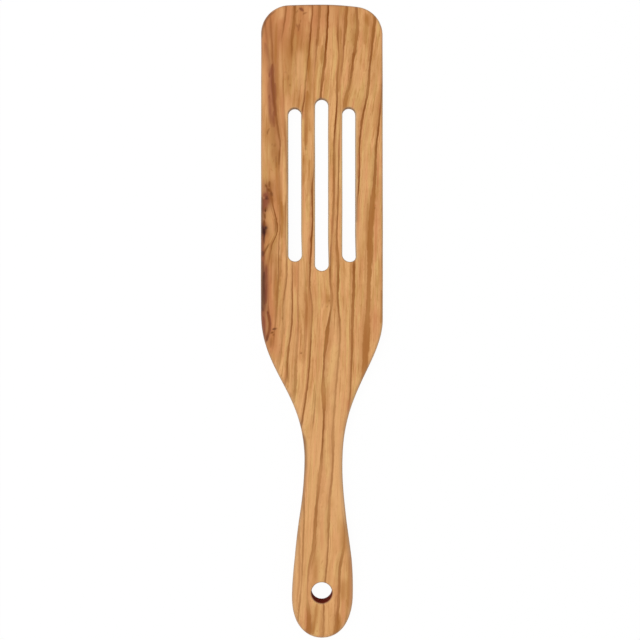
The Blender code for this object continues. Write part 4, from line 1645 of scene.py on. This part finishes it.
@dataclass(frozen=True)
class WhitePaper:
    """Matt white studio paper, which keeps a faint shadow under what lies on it.

    Attributes:
        colour: The paper's white.
        roughness: How matt it is.
        glow: The share of its white that shadows leave alone.
    """

    colour: str = WHITE
    roughness: float = 0.9
    glow: float = 0.96

    def material(self) -> bpy.types.Material:
        """Builds the material: part of the paper's white stays whatever falls on it.

        Returns:
            The material.
        """
        material, tree = empty_material("white_paper")
        looks = {"Base Color": linear(self.colour), "Roughness": self.roughness}
        paper = add_node(tree, "BsdfPrincipled", looks | {"Specular IOR Level": 0.0})
        white = add_node(tree, "Emission", {"Color": linear(self.colour), "Strength": 1.0})
        seen = add_node(tree, "LightPath", [], "Is Camera Ray")
        share = add_node(tree, "Math", [seen, self.glow], operation="MULTIPLY")
        add_node(tree, "OutputMaterial", [add_node(tree, "MixShader", [share, paper, white])])
        return material


@dataclass
class Studio:
    """A white floor, an even white room with one soft lamp, and the camera above.

    Attributes:
        room_light: Strength of the even light from all round.
        lamp_power: Power of the soft lamp, in watts.
        lamp_place: Where the lamp hangs, in metres.
        lamp_size: Side of the lamp's square, in metres.
        floor_size: Side of the floor, in metres.
        camera_place: Where the camera stands, in millimetres.
        camera_tilt: How far the camera leans towards the handle, in degrees.
        view_width: Width of the view at the floor, in millimetres.
        sensor: Width of the camera's sensor, in millimetres.
        nearest: Nothing closer to the camera is shown, in metres.
    """

    room_light: float = 0.72
    lamp_power: float = 7.15
    lamp_place: tuple[float, float, float] = (-0.45, 0.05, 1.3)
    lamp_size: float = 0.9
    floor_size: float = 6.0
    camera_place: tuple[float, float, float] = (-0.98, 9.07, 520.0)
    camera_tilt: float = -0.929
    view_width: float = 336.42
    sensor: float = 36.0
    nearest: float = 0.05

    def floor(self) -> None:
        """Lays the paper on the plane that the board rests on."""
        bm = bmesh.new()
        bmesh.ops.create_grid(bm, x_segments=1, y_segments=1, size=self.floor_size / 2)
        mesh = bpy.data.meshes.new("floor")
        bm.to_mesh(mesh)
        bm.free()
        mesh.materials.append(WhitePaper().material())
        place_object("floor", mesh)

    def room(self) -> None:
        """Lights the room evenly, and shows it white to the camera and in reflections."""
        world = bpy.data.worlds.new("white_room")
        world.use_nodes = True
        tree = world.node_tree
        tree.nodes.clear()
        shown = add_node(tree, "LightPath", [], "Is Camera Ray")
        for ray in ("Is Glossy Ray", "Is Transmission Ray"):
            also = add_node(tree, "LightPath", [], ray)
            shown = add_node(tree, "Math", [shown, also], operation="MAXIMUM")
        strength = add_node(tree, "MapRange", [shown, 0.0, 1.0, self.room_light, 1.0])
        light = add_node(tree, "Background", {"Color": linear(WHITE), "Strength": strength})
        add_node(tree, "OutputWorld", [light])
        bpy.context.scene.world = world

    def lamp(self) -> None:
        """Hangs the soft lamp, a little to the left, facing the board."""
        light = bpy.data.lights.new("soft_lamp", "AREA")
        light.energy = self.lamp_power
        light.size = self.lamp_size
        lamp = place_object("soft_lamp", light)
        lamp.location = self.lamp_place
        lamp.rotation_euler = Vector(self.lamp_place).to_track_quat("Z", "Y").to_euler()

    def camera(self) -> None:
        """Stands the camera above the board, looking down."""
        lens = bpy.data.cameras.new("camera")
        lens.sensor_width = self.sensor
        lens.lens = self.sensor * self.camera_place[2] / self.view_width
        lens.clip_start = self.nearest
        camera = place_object("camera", lens)
        camera.location = Vector(self.camera_place) * MM
        camera.rotation_euler = (math.radians(self.camera_tilt), 0, 0)
        bpy.context.scene.camera = camera

    def build(self) -> None:
        """Sets up the floor, the light and the camera, and plain colour management."""
        self.floor()
        self.room()
        self.lamp()
        self.camera()
        bpy.context.scene.view_settings.view_transform = "Standard"


def report(piece: bpy.types.Object) -> None:
    """Logs a finished piece with its count of faces."""
    LOG.info("%s: %d faces", piece.name, len(piece.data.polygons))


def main() -> None:
    """Builds the board and the studio."""
    logging.basicConfig(level=logging.INFO, format="%(name)s: %(message)s")
    report(OliveBoard().build())
    Studio().build()


if __name__ == "__main__":
    main()
